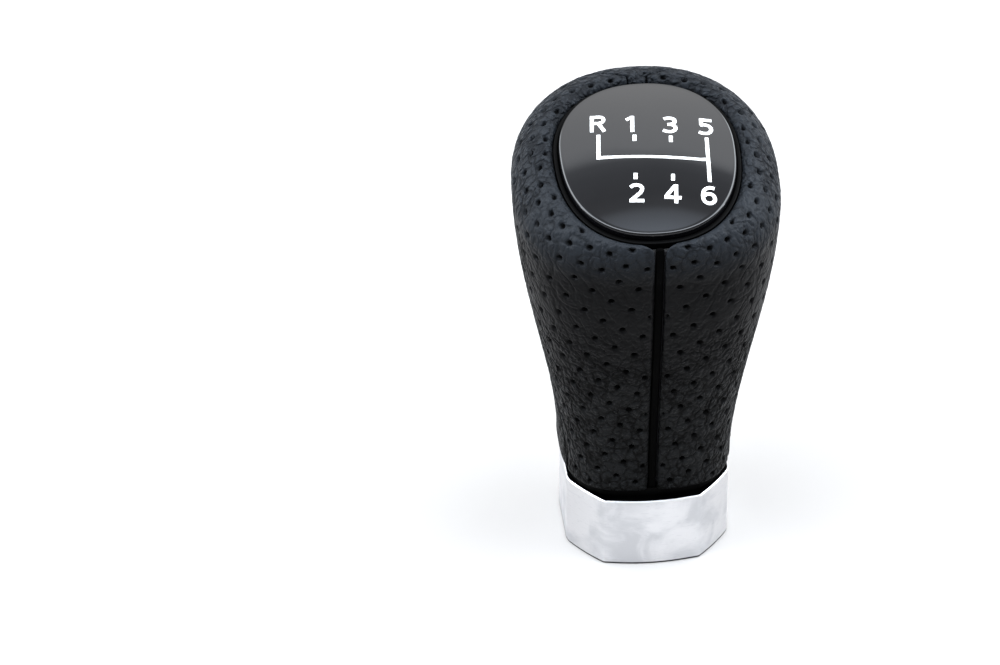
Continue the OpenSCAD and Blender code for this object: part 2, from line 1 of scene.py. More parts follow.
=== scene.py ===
# Gear shift knob: the looks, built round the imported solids.
import math
from functools import partial
import bmesh
import bpy
import numpy as np
from mathutils import Matrix, Vector
from mathutils.kdtree import KDTree


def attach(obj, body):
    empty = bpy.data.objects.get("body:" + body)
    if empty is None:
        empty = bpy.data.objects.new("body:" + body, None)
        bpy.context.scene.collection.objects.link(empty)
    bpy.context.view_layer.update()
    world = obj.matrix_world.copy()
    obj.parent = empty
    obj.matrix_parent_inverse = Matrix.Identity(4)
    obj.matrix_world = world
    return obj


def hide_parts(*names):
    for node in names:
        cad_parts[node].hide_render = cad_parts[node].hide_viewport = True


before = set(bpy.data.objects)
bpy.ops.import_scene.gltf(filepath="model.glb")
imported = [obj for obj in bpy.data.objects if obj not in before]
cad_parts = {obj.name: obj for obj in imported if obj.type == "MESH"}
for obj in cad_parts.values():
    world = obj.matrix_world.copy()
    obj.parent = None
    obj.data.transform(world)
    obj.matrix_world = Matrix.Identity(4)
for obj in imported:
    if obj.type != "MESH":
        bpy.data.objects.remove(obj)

bl_info = {
    "name": "Leather Gear Shift Knob",
    "version": (1, 0, 0),
    "blender": (4, 5, 0),
    "location": "3D View > Sidebar > Shift Knob",
    "description": "Dresses the packed shift knob: leather, badge, printed shift pattern, collar and studio",
    "category": "Object",
}

MM = 0.001
QUARTER = math.pi / 2
FRONT = math.pi * 1.5


# Settings

def length(name, text, value):
    """A size in metres, given here in millimetres."""
    return bpy.props.FloatProperty(
        name=name, description=text, default=value * MM, unit="LENGTH", precision=5
    )


def number(name, text, value):
    return bpy.props.FloatProperty(name=name, description=text, default=value, precision=3)


def degrees(name, text, value):
    return bpy.props.FloatProperty(name=name, description=text, default=math.radians(value), subtype="ANGLE")


def hex_colour(name, text, value):
    return bpy.props.StringProperty(name=name, description=text + ", as sRGB hex", default=value)


class KnobShape(bpy.types.PropertyGroup):
    """Sizes of the body and the badge: the solids', and the rounding of the bezel."""

    neck_w: length("Neck width", "Width across the neck at the hem", 34.2)
    neck_front: length("Neck front", "Reach of the neck in front of the lever axis", 19.1)
    neck_back: length("Neck back", "Reach of the neck behind the lever axis", 16.9)
    neck_square: number("Neck squareness", "Squareness of the neck's front corners", 3.25)
    head_w: length("Head width", "Width across the head", 51.6)
    head_front: length("Head front", "Reach of the head in front of the lever axis", 25.8)
    head_back: length("Head back", "Reach of the head behind the lever axis", 26.7)
    head_square: number("Head squareness", "Squareness of the head's front half", 2.6)
    back_square: number("Back squareness", "Squareness of the back half", 2.2)
    head_z: length("Head height", "Height of the head's widest line", 80.2)
    head_tilt: degrees("Head tilt", "Lean of the head's top towards the front", 15)
    head_shift: length("Head shift", "Place of the head's middle behind the lever axis", -0.2)
    crown_h: length("Crown height", "Rise of the leather's rim over the widest line", 8.5)
    crown_full: number("Crown fullness", "Roundness of the crown", 1.6)
    cap_w: length("Cap width", "Width of the badge cap", 33.8)
    cap_front: length("Cap front", "Reach of the cap in front of the lever axis", 20.8)
    cap_back: length("Cap back", "Reach of the cap behind the lever axis", 16.7)
    cap_square: number("Cap squareness", "Squareness of the cap's front half", 2.3)
    cap_lift: length("Cap lift", "Height of the cap's edge over the leather's rim", 0.8)
    cap_stand: length("Cap stand", "Height of the cap's edge over the bezel", 1.5)
    cap_dome: length("Cap dome", "Rise of the cap's dome", 1.8)
    cap_round: length("Cap edge radius", "Radius of the cap's rounded edge", 0.6)
    cap_seat: length("Cap seat", "Depth of the cap below the bezel's face", 1.4)
    bezel_w: length("Bezel width", "Width of the bezel round the cap", 1)
    bezel_round: length("Bezel edge radius", "Radius of the bezel's two upper edges", 0.25)
    shelf_t: length("Shelf thickness", "Thickness of the shelf under the cap", 1)
    shelf_w: length("Shelf width", "Width of the shelf under the cap", 3.4)
    nest_gap: length("Nesting gap", "Clearance between nested pieces", 0.1)
    rim_roll: length("Rim roll", "Radius of the leather's roll into the recess", 1.5)
    rim_depth: length("Rim depth", "Depth of the turned-in leather", 2.2)


class KnobCollar(bpy.types.PropertyGroup):
    """Sizes of the collar and the band over it: the solids', but with crisper front corners and bevels."""

    height: length("Height", "Height of the collar", 16.2)
    band: length("Band height", "Height of the black band over the collar", 1.7)
    step: length("Side step", "Step from the leather's side in to the collar's side", 0.6)
    proud: length("Front step", "Step from the leather's front out to the collar's front corners", 0.1)
    flat: length("Front width", "Width of the front between its corners", 19.2)
    bow: length("Front bow", "Bow of the front between its corners", 1)
    side: length("Chamfer start", "Distance from the lever axis forward to where the chamfers start", 11.6)
    chamfer_bow: length("Chamfer bow", "Bow of the chamfers", 0.3)
    draw: length("Side draw-in", "Draw-in of the sides at the chamfers", 0.3)
    corner: length("Front corner radius", "Radius of the two front corners", 1.2)
    side_corner: length("Side corner radius", "Radius between the chamfers and the sides", 4)
    bevel: length("Bevel", "Bevel along the top and bottom edges", 0.225)
    wall: length("Wall", "Thickness of the wall", 1.4)
    plate: length("Plate", "Thickness of the plate that closes the top", 2.6)
    hole: length("Socket hole", "Radius of the hole for the lever's socket", 8.8)
    recess: length("Screw recess", "Radius of the recess for a screw's head", 2.5)
    seat: length("Screw seat", "Height of the screw heads' seats over the base", 15.2)
    pass_hole: length("Screw hole", "Radius of the hole for a screw", 1.6)
    screw_side: length("Screws beside", "Distance of the front screws beside the lever axis", 9.2)
    screw_front: length("Screws in front", "Distance of the front screws in front of the lever axis", 10.6)
    screw_back: length("Screw behind", "Distance of the rear screw behind the lever axis", 11.7)


class KnobLeather(bpy.types.PropertyGroup):
    """Sizes of the leather cover and what is punched and pressed into it."""

    leather_t: length("Thickness", "Thickness of the leather", 1.2)
    edge_roll: length("Edge roll", "Radius of the rounded panel edges", 0.8)
    hem_tuck: length("Hem tuck", "Width of leather folded in at the hem", 2)
    groove_w: length("Groove width", "Width of the front groove", 1.9)
    groove_open: length("Groove opening", "How far each side of the groove curves away at the badge", 1.8)
    strip_sink: length("Piping depth", "Depth of the piping below the leather's face", 0.6)
    seam_gap: length("Seam gap", "Gap between two panels at a side seam", 0.2)
    seam_foot: degrees("Seam foot", "Angle of a side seam's foot in front of the widest point", 34)
    tongue_w: length("Tongue width", "Width of the rear panel at the rim", 3.8)
    seam_ease: number("Seam ease", "How late the side seams turn to the back", 1.75)
    hole_step: length("Hole spacing", "Distance between punched holes on the flat hide", 4.08)
    hole_turn: degrees("Pattern turn", "Turn of the square hole pattern on each front panel", 21.3)
    hole_across: length("Pattern across", "A hole's distance from the groove's middle in front", 9.49)
    hole_up: length("Pattern up", "The same hole's distance up the flat front panel", 44.28)
    hole_d: length("Hole diameter", "Diameter of a punched hole", 1.2)
    hole_depth: length("Hole depth", "Depth of a punched hole", 0.8)
    dimple_w: length("Dimple width", "Width over which the leather pulls in round a hole", 0.5)
    dimple_depth: length("Dimple depth", "Depth of the pulled-in leather round a hole", 0.08)
    grain_size: length("Grain size", "Width of a plate of the grain between two creases", 1.9)
    grain_depth: length("Grain depth", "Depth of the creases between plates", 0.15)


class KnobFinish(bpy.types.PropertyGroup):
    """Colours of the finishes."""

    leather: hex_colour("Leather", "Dyed and pigmented leather", "#121314")
    leather_shaded_under_head: hex_colour("Leather under the head", "The same leather painted darker, as shaded under the head", "#060607")
    leather_lit_head: hex_colour("Leather on the head", "The same leather painted lighter and bluer, as lit from above", "#1e2125")
    crease: hex_colour("Leather creases", "Painted shade in the creases", "#020202")
    crease_shade_on_lit_head: hex_colour("Creases on the head", "Painted shade in the creases, lighter on the head, as lit from above", "#131518")
    piping: hex_colour("Piping", "Piping strip", "#020202")
    piping_dark: hex_colour("Piping clouds", "Darker clouds of the piping", "#010101")
    cap: hex_colour("Cap", "Badge cap", "#08080a")
    cap_dark: hex_colour("Cap clouds", "Darker clouds of the badge cap", "#060608")
    print_white: hex_colour("Print", "Screen-printed shift pattern", "#f2f2f0")
    print_thin: hex_colour("Thin print", "The same print where its ink is thinner", "#e6e6e4")
    collar: hex_colour("Collar", "Anodised collar", "#dfdfe1")
    collar_dark: hex_colour("Collar clouds", "Darker clouds of the anodised collar", "#c6c7ca")
    collar_shade: hex_colour("Painted shade", "Grime along the collar's foot, and on its ledge under the leather", "#0c0c0d")
    bezel: hex_colour("Bezel", "Bezel ring", "#030303")
    base_ring: hex_colour("Base ring", "Ring between the collar and the leather", "#030303")
    carrier: hex_colour("Carrier", "Cup that takes the badge", "#0d0d0e")
    plastic: hex_colour("Plastic", "Black nylon", "#1b1b1d")
    foam: hex_colour("Foam", "Moulded foam", "#1c1c1e")
    rubber: hex_colour("Rubber", "Buffer at the end of the bore", "#151515")
    tape: hex_colour("Tape", "Foam tape under the badge cap", "#3a3a3c")
    screws: hex_colour("Screws", "Zinc-plated screws", "#b9bcc2")
    spring: hex_colour("Spring", "Lock spring", "#c4c6c8")
    paper: hex_colour("Paper", "The studio's floor", "#a29f9c")
    paper_dark: hex_colour("Paper clouds", "Darker clouds of the studio's floor", "#9e9b98")


class KnobStudio(bpy.types.PropertyGroup):
    """The studio and the camera."""

    peak: number("Brightest light", "Radiance of the softbox over the knob", 10)
    side_light: number("Side light", "Radiance of the softboxes to the left and right", 9)
    distance: bpy.props.FloatProperty(
        name="Distance", description="Camera to the middle of the base", default=0.9, unit="LENGTH"
    )
    elevation: degrees("Elevation", "Camera's downward aim", 38)
    turn: degrees("Turn", "Camera's place to the left of the front", 4.59)
    roll: degrees("Roll", "Camera's roll, clockwise", 0.61)
    base_x: number("Base across", "Pixel column of the middle of the base, of 1000", 640.46)
    base_y: number("Base down", "Pixel row of the middle of the base, of 665", 498.38)
    scale: number("Scale", "Pixels per millimetre at the base", 4.91)


# Surfaces: the same rules as the solids, evaluated for whole grids of points at once

def smooth(t):
    return t * t * (3 - 2 * t)


def blend(low, high, t):
    return low * (1 - t) + high * t


def bend(t, a, b, c, d):
    return a * (1 - t) ** 3 + 3 * b * t * (1 - t) ** 2 + 3 * c * t * t * (1 - t) + d * t**3


def oval(size, inset, angle):
    """Points of an oval in the direction of the angles; size is half width, front, back, two squarenesses."""
    across, front, back, front_power, back_power = size
    ahead = np.sin(angle) < 0
    reach = np.where(ahead, front, back) - inset
    power = np.where(ahead, front_power, back_power)
    radius = (
        (np.abs(np.cos(angle)) / (across - inset)) ** power + (np.abs(np.sin(angle)) / reach) ** power
    ) ** (-1 / power)
    return radius * np.cos(angle), radius * np.sin(angle)


class Body:
    """The knob's outer surface and everything parallel to it."""

    # Pulls of the wall's curve at the hem and at the head
    lower_pull = 0.4
    upper_pull = 0.08
    # How late on the way up the head's lean sets in
    lean_ease = 2.4
    # Share of a side seam's turn that falls on the wall
    wall_turn = 0.8
    # Way up the skin at which the groove starts to open, and over which it does
    opening_start = 1.55
    opening_run = 0.9

    def __init__(self, scene):
        s = scene.knob_shape
        self.s = s
        self.leather = scene.knob_leather
        self.hem = scene.knob_collar.height + scene.knob_collar.band
        self.neck = np.array([s.neck_w / 2, s.neck_front, s.neck_back, s.neck_square, s.back_square])
        self.head = np.array([s.head_w / 2, s.head_front, s.head_back, s.head_square, s.back_square])
        self.cap = np.array([s.cap_w / 2, s.cap_front, s.cap_back, s.cap_square, s.back_square])
        self.rim = self.grown(s.bezel_w + s.nest_gap + s.rim_roll)
        self.low = s.crown_h - s.rim_depth

    def grown(self, by):
        """The cap's oval, grown by a distance."""
        size = self.cap.copy()
        size[:3] += by
        return size

    def tilted(self, x, y, rise):
        """Points of the badge's tilted plane, raised over the widest line."""
        lean = self.s.head_tilt
        return np.stack(np.broadcast_arrays(
            x,
            self.s.head_shift + y * math.cos(lean) - rise * math.sin(lean),
            self.s.head_z + y * math.sin(lean) + rise * math.cos(lean),
        ), -1)

    def share(self, t):
        return bend(t, 0, self.lower_pull, 1 - self.upper_pull * math.cos(self.s.head_tilt), 1)

    def centre_y(self, t):
        late = self.s.head_shift + (self.s.head_z - self.hem) * self.upper_pull * math.sin(self.s.head_tilt)
        return bend(t, 0, 0, late, self.s.head_shift)

    def wall_size(self, t):
        return [blend(a, b, smooth(self.share(t))) for a, b in zip(self.neck, self.head)]

    def crown_out(self, t):
        return np.clip(np.cos(QUARTER * np.clip(t, 0, 1)), 0, 1) ** (2 / self.s.crown_full)

    def crown_size(self, t):
        out = self.crown_out(t)
        return [blend(a, b, out) for a, b in zip(self.rim, self.head)]

    def skin(self, way, inset, angle):
        """Points for ways up the skin: 0 to 1 wall, 1 to 2 crown, 2 to 3 roll, 3 to 4 turned-in edge."""
        way, inset, angle = np.broadcast_arrays(
            np.asarray(way, float), np.asarray(inset, float), np.asarray(angle, float)
        )
        t = np.clip(way, 0, 1)
        x, y = oval(self.wall_size(t), inset, angle)
        rise = self.share(t)
        lean = self.s.head_tilt * rise**self.lean_ease
        height = blend(self.hem, self.s.head_z, rise)
        wall = np.stack([x, self.centre_y(t) + y * np.cos(lean), height + y * np.sin(lean)], -1)
        t = np.clip(way - 1, 0, 1)
        x, y = oval(self.crown_size(t), inset * self.crown_out(t), angle)
        crown = self.tilted(x, y, (self.s.crown_h - inset) * np.sin(QUARTER * t) ** (2 / self.s.crown_full))
        t = np.clip(way - 2, 0, 1)
        radius = self.s.rim_roll - inset
        x, y = oval(self.rim, radius * np.sin(QUARTER * t), angle)
        roll = self.tilted(x, y, self.s.crown_h - inset - radius * (1 - np.cos(QUARTER * t)))
        t = np.clip(way - 3, 0, 1)
        x, y = oval(self.rim, radius, angle)
        drop = self.tilted(x, y, blend(self.s.crown_h - self.s.rim_roll, self.low, t))
        pick = way[..., None]
        return np.where(pick < 1, wall, np.where(pick < 2, crown, np.where(pick < 3, roll, drop)))

    def reach(self, way, angle):
        """Distance from the section's middle to its edge."""
        way = np.asarray(way, float)
        size = [
            np.where(way < 1, a, b)
            for a, b in zip(self.wall_size(np.clip(way, 0, 1)), self.crown_size(np.clip(way - 1, 0, 1)))
        ]
        return np.hypot(*oval(size, 0, angle))

    def seam_angle(self, way):
        way = np.asarray(way, float)
        on_wall = self.wall_turn * self.share(np.clip(way, 0, 1))
        on_crown = self.wall_turn + (1 - self.wall_turn) * np.clip(way - 1, 0, 1)
        share = np.where(way < 1, on_wall, on_crown)
        top = QUARTER - math.asin(self.leather.tongue_w / 2 / float(self.reach(2.0, QUARTER)))
        return blend(-self.leather.seam_foot, top, share**self.leather.seam_ease)

    def groove_angle(self, way, opening=0.0):
        """Half the groove's angle; it opens in a curve just before the rim."""
        open_share = np.clip((np.asarray(way, float) - self.opening_start) / self.opening_run, 0, 1) ** 2
        return np.arcsin((self.leather.groove_w / 2 + opening * open_share) / self.reach(way, FRONT))


# Mesh making

def new_piece(name, points, faces, material):
    mesh = bpy.data.meshes.new(name)
    mesh.from_pydata([tuple(p) for p in points], [], faces)
    mesh.update()
    mesh.shade_smooth()
    mesh.materials.append(material)
    piece = bpy.data.objects.new(name, mesh)
    bpy.context.scene.collection.objects.link(piece)
    return piece


def grid_faces(rows, columns, closed_rows=False):
    """Quads of a grid whose rows close on themselves; closed_rows joins the last row to the first."""
    faces = []
    for r in range(rows if closed_rows else rows - 1):
        low, high = r * columns, (r + 1) % rows * columns
        for c in range(columns):
            d = (c + 1) % columns
            faces.append((low + c, low + d, high + d, high + c))
    return faces


def smooth_by_angle(piece, angle):
    """Keeps edges sharper than the angle crisp."""
    piece.data.shade_smooth()
    piece.data.set_sharp_from_angle(angle=math.radians(angle))


def bake_modifiers(piece):
    """Keeps what the piece's modifiers make as its plain mesh."""
    bpy.context.view_layer.update()
    graph = bpy.context.evaluated_depsgraph_get()
    mesh = bpy.data.meshes.new_from_object(
        piece.evaluated_get(graph), preserve_all_data_layers=True, depsgraph=graph
    )
    piece.modifiers.clear()
    old = piece.data
    name = old.name
    piece.data = mesh
    bpy.data.meshes.remove(old)
    mesh.name = name


def finish_piece(piece, slot, *nodes):
    """Ties a finished piece to the frame."""
    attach(piece, "root")
    if nodes:
        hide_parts(*nodes)


# Materials

EASED = {"interpolation_type": "SMOOTHSTEP"}
# With these settings a mix node works in colours, and its third output is the mixed colour
COLOURS = {"out": 2, "data_type": "RGBA"}

# Places on the knob in metres, from and to, between which the leather changes
TIGHT_FROM_Z = (0.050, 0.064)
TIGHT_TO_Z = (0.073, 0.080)
TIGHT_TO_Y = (-0.017, -0.006)
# Heights between which the upper front is painted darker, as shaded under the head
SHADED_UNDER_HEAD_FROM_Z = (0.036, 0.060)
# Heights between which the head is painted lighter and bluer, as lit from above
LIT_HEAD_FROM_Z = (0.072, 0.083)
# How strong the grain is where the hide is tight over the upper front, and on the rim above
TIGHT_GRAIN = 0.22
RIM_GRAIN = 0.55
# Share of the relief that is wrinkles, and how far these lean from upright
WRINKLE_SHARE = 0.16
WRINKLE_TURN = math.radians(-42)


def linear(hex_value, share=1.0):
    """An sRGB hex colour, or a share of its light, as the linear colour that a shader takes."""
    channels = [int(hex_value[i:i + 2], 16) / 255 for i in (1, 3, 5)]
    light = [c / 12.92 if c <= 0.04045 else ((c + 0.055) / 1.055) ** 2.4 for c in channels]
    return tuple(share * c for c in light) + (1.0,)


def add_node(tree, kind, inputs=(), out=0, **settings):
    """Adds a node with its settings and fills its inputs, by name or number, with values or links."""
    node = tree.nodes.new(kind)
    for key, value in settings.items():
        setattr(node, key, value)
    for key, value in inputs.items() if isinstance(inputs, dict) else enumerate(inputs):
        if isinstance(value, bpy.types.NodeSocket):
            tree.links.new(value, node.inputs[key])
        else:
            node.inputs[key].default_value = value
    return node.outputs[out] if len(node.outputs) else None


def make_material(name, looks, **sockets):
    """A material whose linked looks come from a function; plain values are set on the shader itself."""
    material = bpy.data.materials.new(name)
    material.use_nodes = True
    material.node_tree.nodes.clear()
    add = partial(add_node, material.node_tree)
    place = add("ShaderNodeTexCoord", out="Object")
    shader = {key.replace("_", " "): value for key, value in {**looks(add, place), **sockets}.items()}
    add("ShaderNodeOutputMaterial", {"Surface": add("ShaderNodeBsdfPrincipled", shader)})
    return material


def leather_grain(add, place, size):
    """The hide's relief: the height of its grain, from 0 in the creases to 1 on the plates."""
    # The grain's pattern wanders by up to about a millimetre each way
    wander = add("ShaderNodeTexNoise", {"Vector": place, "Scale": 1 / (2.6 * MM), "Detail": 3.0}, out="Color")
    bent = add("ShaderNodeVectorMath", [wander, (1.9 * MM,) * 3, place], operation="MULTIPLY_ADD")
    # Plates are taller than wide, as the hide is pulled lengthways over the knob
    pulled = add("ShaderNodeVectorMath", [bent, (1.0, 1.0, 0.78)], operation="MULTIPLY")
    density = add("ShaderNodeMath", [1.0, size], operation="DIVIDE")
    plates = {"Vector": pulled, "Scale": density}
    edge = add("ShaderNodeTexVoronoi", plates, out="Distance", feature="DISTANCE_TO_EDGE")
    crease = add("ShaderNodeMapRange", [edge, 0.0, 0.2, 0.0, 1.0], **EASED)
    # Pebbles between the creases
    finer = add("ShaderNodeMath", [density, 2.3], operation="MULTIPLY")
    middle = add("ShaderNodeTexVoronoi", {"Vector": pulled, "Scale": finer}, out="Distance")
    pebble = add("ShaderNodeMapRange", [middle, 0.1, 0.75, 1.0, 0.0], **EASED)
    # Wrinkles dragged down towards the groove where the hide is pulled over the front
    parts = add("ShaderNodeSeparateXYZ", [place]).node.outputs
    beside = add("ShaderNodeMath", [parts["X"]], operation="ABSOLUTE")
    folded = add("ShaderNodeCombineXYZ", [beside, parts["Y"], parts["Z"]])
    turned = add("ShaderNodeVectorRotate", {"Vector": folded, "Angle": WRINKLE_TURN}, rotation_type="Y_AXIS")
    drawn = add("ShaderNodeVectorMath", [turned, (1.0, 1.0, 0.42)], operation="MULTIPLY")
    drag = add("ShaderNodeTexNoise", {"Vector": drawn, "Scale": 1 / (3.4 * MM), "Detail": 1.0})
    signed = add("ShaderNodeMath", [drag, 0.5], operation="SUBTRACT")
    ridge = add("ShaderNodeMath", [signed], operation="ABSOLUTE")
    wrinkle = add("ShaderNodeMapRange", [ridge, 0.0, 0.08, 0.0, 1.0], **EASED)
    # The grain fades where the hide is tight, and comes and goes in patches everywhere else
    patches = add("ShaderNodeTexNoise", {"Vector": place, "Scale": 1 / (6 * MM), "Detail": 2.0})
    patchy = add("ShaderNodeMapRange", [patches, 0.36, 0.6, 0.45, 1.0])
    below = add("ShaderNodeMapRange", [parts["Z"], *TIGHT_FROM_Z, 1.0, TIGHT_GRAIN], **EASED)
    above = add("ShaderNodeMapRange", [parts["Z"], *TIGHT_TO_Z, TIGHT_GRAIN, RIM_GRAIN], **EASED)
    behind = add("ShaderNodeMapRange", [parts["Y"], *TIGHT_TO_Y, TIGHT_GRAIN, 1.0], **EASED)
    tight = add("ShaderNodeMath", [below, above], operation="MAXIMUM")
    tight = add("ShaderNodeMath", [tight, behind], operation="MAXIMUM")
    strength = add("ShaderNodeMath", [patchy, tight], operation="MULTIPLY")
    grain = add("ShaderNodeMath", [pebble, 0.5], operation="MULTIPLY")
    grain = add("ShaderNodeMath", [crease, 0.5, grain], operation="MULTIPLY_ADD")
    grain = add("ShaderNodeMix", {0: strength, 2: 0.85, 3: grain}, data_type="FLOAT")
    height = add("ShaderNodeMath", [wrinkle, WRINKLE_SHARE], operation="MULTIPLY")
    return add("ShaderNodeMath", [grain, 1 - WRINKLE_SHARE, height], operation="MULTIPLY_ADD")


def perforated_leather(colours, leather):
    """Drum-dyed cowhide with a pulled, pressed grain and a thin pigment coat: nearly black and of low sheen,
    with plates polished by the hand. Painted shade darkens the creases, the punched holes and the upper front
    under the head, and the head is painted lighter and bluer, as lit from above."""
    def looks(add, place):
        height = leather_grain(add, place, leather.grain_size)
        # Pores of the hide, drawn at 0.25 mm so that they show
        pores = {"Vector": place, "Scale": 1 / (0.25 * MM), "Detail": 3.0, "Roughness": 0.65}
        pores = add("ShaderNodeTexNoise", pores)
        wear = add("ShaderNodeTexNoise", {"Vector": place, "Scale": 1 / (9 * MM), "Detail": 3.0})
        hole = add("ShaderNodeAttribute", out="Fac", attribute_name="hole")
        level = add("ShaderNodeSeparateXYZ", [place]).node.outputs["Z"]
        # Painted shade: the upper front under the head is painted darker
        shade_under_head = add("ShaderNodeMapRange", [level, *SHADED_UNDER_HEAD_FROM_Z, 0.0, 1.0], **EASED)
        # Painted light: the head is painted lighter and bluer, as lit from above
        head_light = add("ShaderNodeMapRange", [level, *LIT_HEAD_FROM_Z, 0.0, 1.0], **EASED)
        body, head = linear(colours.leather), linear(colours.leather_lit_head)
        coat = add("ShaderNodeMix", {0: shade_under_head, 6: body, 7: linear(colours.leather_shaded_under_head)}, **COLOURS)
        coat = add("ShaderNodeMix", {0: head_light, 6: coat, 7: head}, **COLOURS)
        # Painted shade in the creases, less dark on the head, which is painted as lit from above
        crease, worn = linear(colours.crease), linear(colours.crease_shade_on_lit_head)
        crease_shade = add("ShaderNodeMix", {0: head_light, 6: crease, 7: worn}, **COLOURS)
        plates = add("ShaderNodeMapRange", [height, 0.3, 0.85, 0.0, 1.0], **EASED)
        toned = add("ShaderNodeMix", {0: plates, 6: crease_shade, 7: coat}, **COLOURS)
        # Painted shade in the punched holes, in the creases' dark colour
        colour = add("ShaderNodeMix", {0: hole, 6: toned, 7: crease}, **COLOURS)
        polish = add("ShaderNodeMapRange", [height, 0.2, 1.0, 0.75, 0.42])
        rubbed = add("ShaderNodeMath", [wear, -0.12, polish], operation="MULTIPLY_ADD")
        dull = add("ShaderNodeMath", [rubbed, hole], operation="MAXIMUM")
        fine = add("ShaderNodeBump", {"Strength": 0.5, "Distance": 0.06 * MM, "Height": pores}, out="Normal")
        deep = {"Strength": 1.0, "Distance": 0.55 * MM, "Height": height, "Normal": fine}
        return {"Base_Color": colour, "Roughness": dull, "Normal": add("ShaderNodeBump", deep, out="Normal")}
    return make_material("perforated grained cowhide", looks, Specular_IOR_Level=0.07, IOR=1.5)


def mottled(name, dark, light, tone, rough, bump, **sockets):
    """A material of one colour with clouds in it.

    The first three values of tone, rough and bump are a noise's size in millimetres, its detail and its
    roughness. In tone, the noise's two ends follow; in rough, these and the surface's roughness at both; in
    bump, its strength and its depth in millimetres."""
    def looks(add, place):
        noises = []
        for size, detail, fine in (tone[:3], rough[:3], bump[:3]):
            values = {"Vector": place, "Scale": 1 / (size * MM), "Detail": detail, "Roughness": fine}
            noises.append(add("ShaderNodeTexNoise", values))
        clouds, gloss, relief = noises
        share = add("ShaderNodeMapRange", [clouds, *tone[3:], 0.0, 1.0])
        raised = {"Strength": bump[3], "Distance": bump[4] * MM, "Height": relief}
        return {
            "Base_Color": add("ShaderNodeMix", {0: share, 6: dark, 7: light}, **COLOURS),
            "Roughness": add("ShaderNodeMapRange", [gloss, *rough[3:]]),
            "Normal": add("ShaderNodeBump", raised, out="Normal"),
        }
    return make_material(name, looks, **sockets)


def piping_leather(colours):
    """Smooth black leather folded round a cord: dull and almost without light in the groove, with pores."""
    waves = (4, 2.0, 0.5, 0.3, 0.7)
    return mottled(
        "smooth piping leather", linear(colours.piping_dark), linear(colours.piping), waves,
        (*waves, 0.55, 0.7), (0.3, 3.0, 0.5, 0.3, 0.03), Specular_IOR_Level=0.015, IOR=1.5,
    )


def cap_gloss(colours):
    """Injection-moulded black acrylic, polished: deep black and mirror gloss, with the faintest orange peel
    and wiping marks."""
    peel = (5, 2.0, 0.5)
    wiped = (1.2, 4.0, 0.65)
    return mottled(
        "polished black acrylic", linear(colours.cap_dark), linear(colours.cap), (*peel, 0.3, 0.7),
        (*wiped, 0.3, 0.75, 0.03, 0.06), (*peel, 0.12, 0.02), IOR=1.49,
    )


def moulded_plastic(name, colour, low, high, grain, depth, specular=0.5):
    """Moulded thermoplastic or foam: one dyed colour with faint flow clouds, and a spark-eroded grain."""
    spark = (grain, 3.0, 0.6)
    return mottled(
        name, linear(colour, 0.75), linear(colour), (12, 2.0, 0.5, 0.3, 0.7), (*spark, 0.3, 0.7, low, high),
        (*spark, 0.4, depth), Specular_IOR_Level=specular, IOR=1.5,
    )


def plated_steel(name, colour, rough):
    """Zinc-plated or drawn steel: metallic, with fine streaks of uneven plating."""
    streak = (0.4, 3.0, 0.5)
    return mottled(
        name, linear(colour, 0.7), linear(colour), (*streak, 0.35, 0.65),
        (*streak, 0.3, 0.7, rough, rough + 0.15), (*streak, 0.2, 0.02), Metallic=1.0,
    )


def satin_aluminium(colours, top):
    """Die-cast aluminium, blasted and anodised: broad soft reflections, clouds and smudges left by casting
    and handling, and a frosted grain drawn at 0.2 mm so that it shows."""
    def looks(add, place):
        frost = {"Vector": place, "Scale": 1 / (0.2 * MM), "Detail": 3.0, "Roughness": 0.65}
        frost = add("ShaderNodeTexNoise", frost)
        cloud = add(
            "ShaderNodeTexNoise",
            {"Vector": place, "Scale": 1 / (9 * MM), "Detail": 6.0, "Roughness": 0.5, "Distortion": 0.5},
        )
        # Long thin marks, as from wiping round the collar
        thin = add("ShaderNodeVectorMath", [place, (1.0, 1.0, 6.0)], operation="MULTIPLY")
        marks = add(
            "ShaderNodeTexNoise", {"Vector": thin, "Scale": 1 / (2.2 * MM), "Detail": 4.0, "Distortion": 1.5}
        )
        mark = add("ShaderNodeMapRange", [marks, 0.58, 0.68, 0.0, 0.35])
        tone = add("ShaderNodeMapRange", [cloud, 0.38, 0.62, 0.0, 1.0], **EASED)
        tone = add("ShaderNodeMath", [tone, mark], operation="SUBTRACT", use_clamp=True)
        dark, light = linear(colours.collar_dark), linear(colours.collar)
        unshaded = add("ShaderNodeMix", {0: tone, 6: dark, 7: light}, **COLOURS)
        # Painted shade: the ledge under the leather is painted black, as shaded by the hem, and a dark
        # contact shadow is painted along the bottom edge
        height = add("ShaderNodeSeparateXYZ", [place]).node.outputs["Z"]
        foot = add("ShaderNodeMapRange", [height, 0.35 * MM, 0.55 * MM, 1.0, 0.0])
        ledge = add("ShaderNodeMapRange", [height, top - 0.06 * MM, top - 0.02 * MM, 0.0, 1.0])
        painted_shade = add("ShaderNodeMath", [foot, ledge], operation="MAXIMUM")
        colour = add("ShaderNodeMix", {0: painted_shade, 6: unshaded, 7: linear(colours.collar_shade)}, **COLOURS)
        rough = add("ShaderNodeMapRange", [tone, 0.0, 1.0, 0.42, 0.3])
        fine = add("ShaderNodeBump", {"Strength": 0.25, "Distance": 0.02 * MM, "Height": frost}, out="Normal")
        deep = {"Strength": 0.3, "Distance": 0.08 * MM, "Height": cloud, "Normal": fine}
        return {"Base_Color": colour, "Roughness": rough, "Normal": add("ShaderNodeBump", deep, out="Normal")}
    return make_material("satin anodised aluminium", looks, Metallic=1.0)


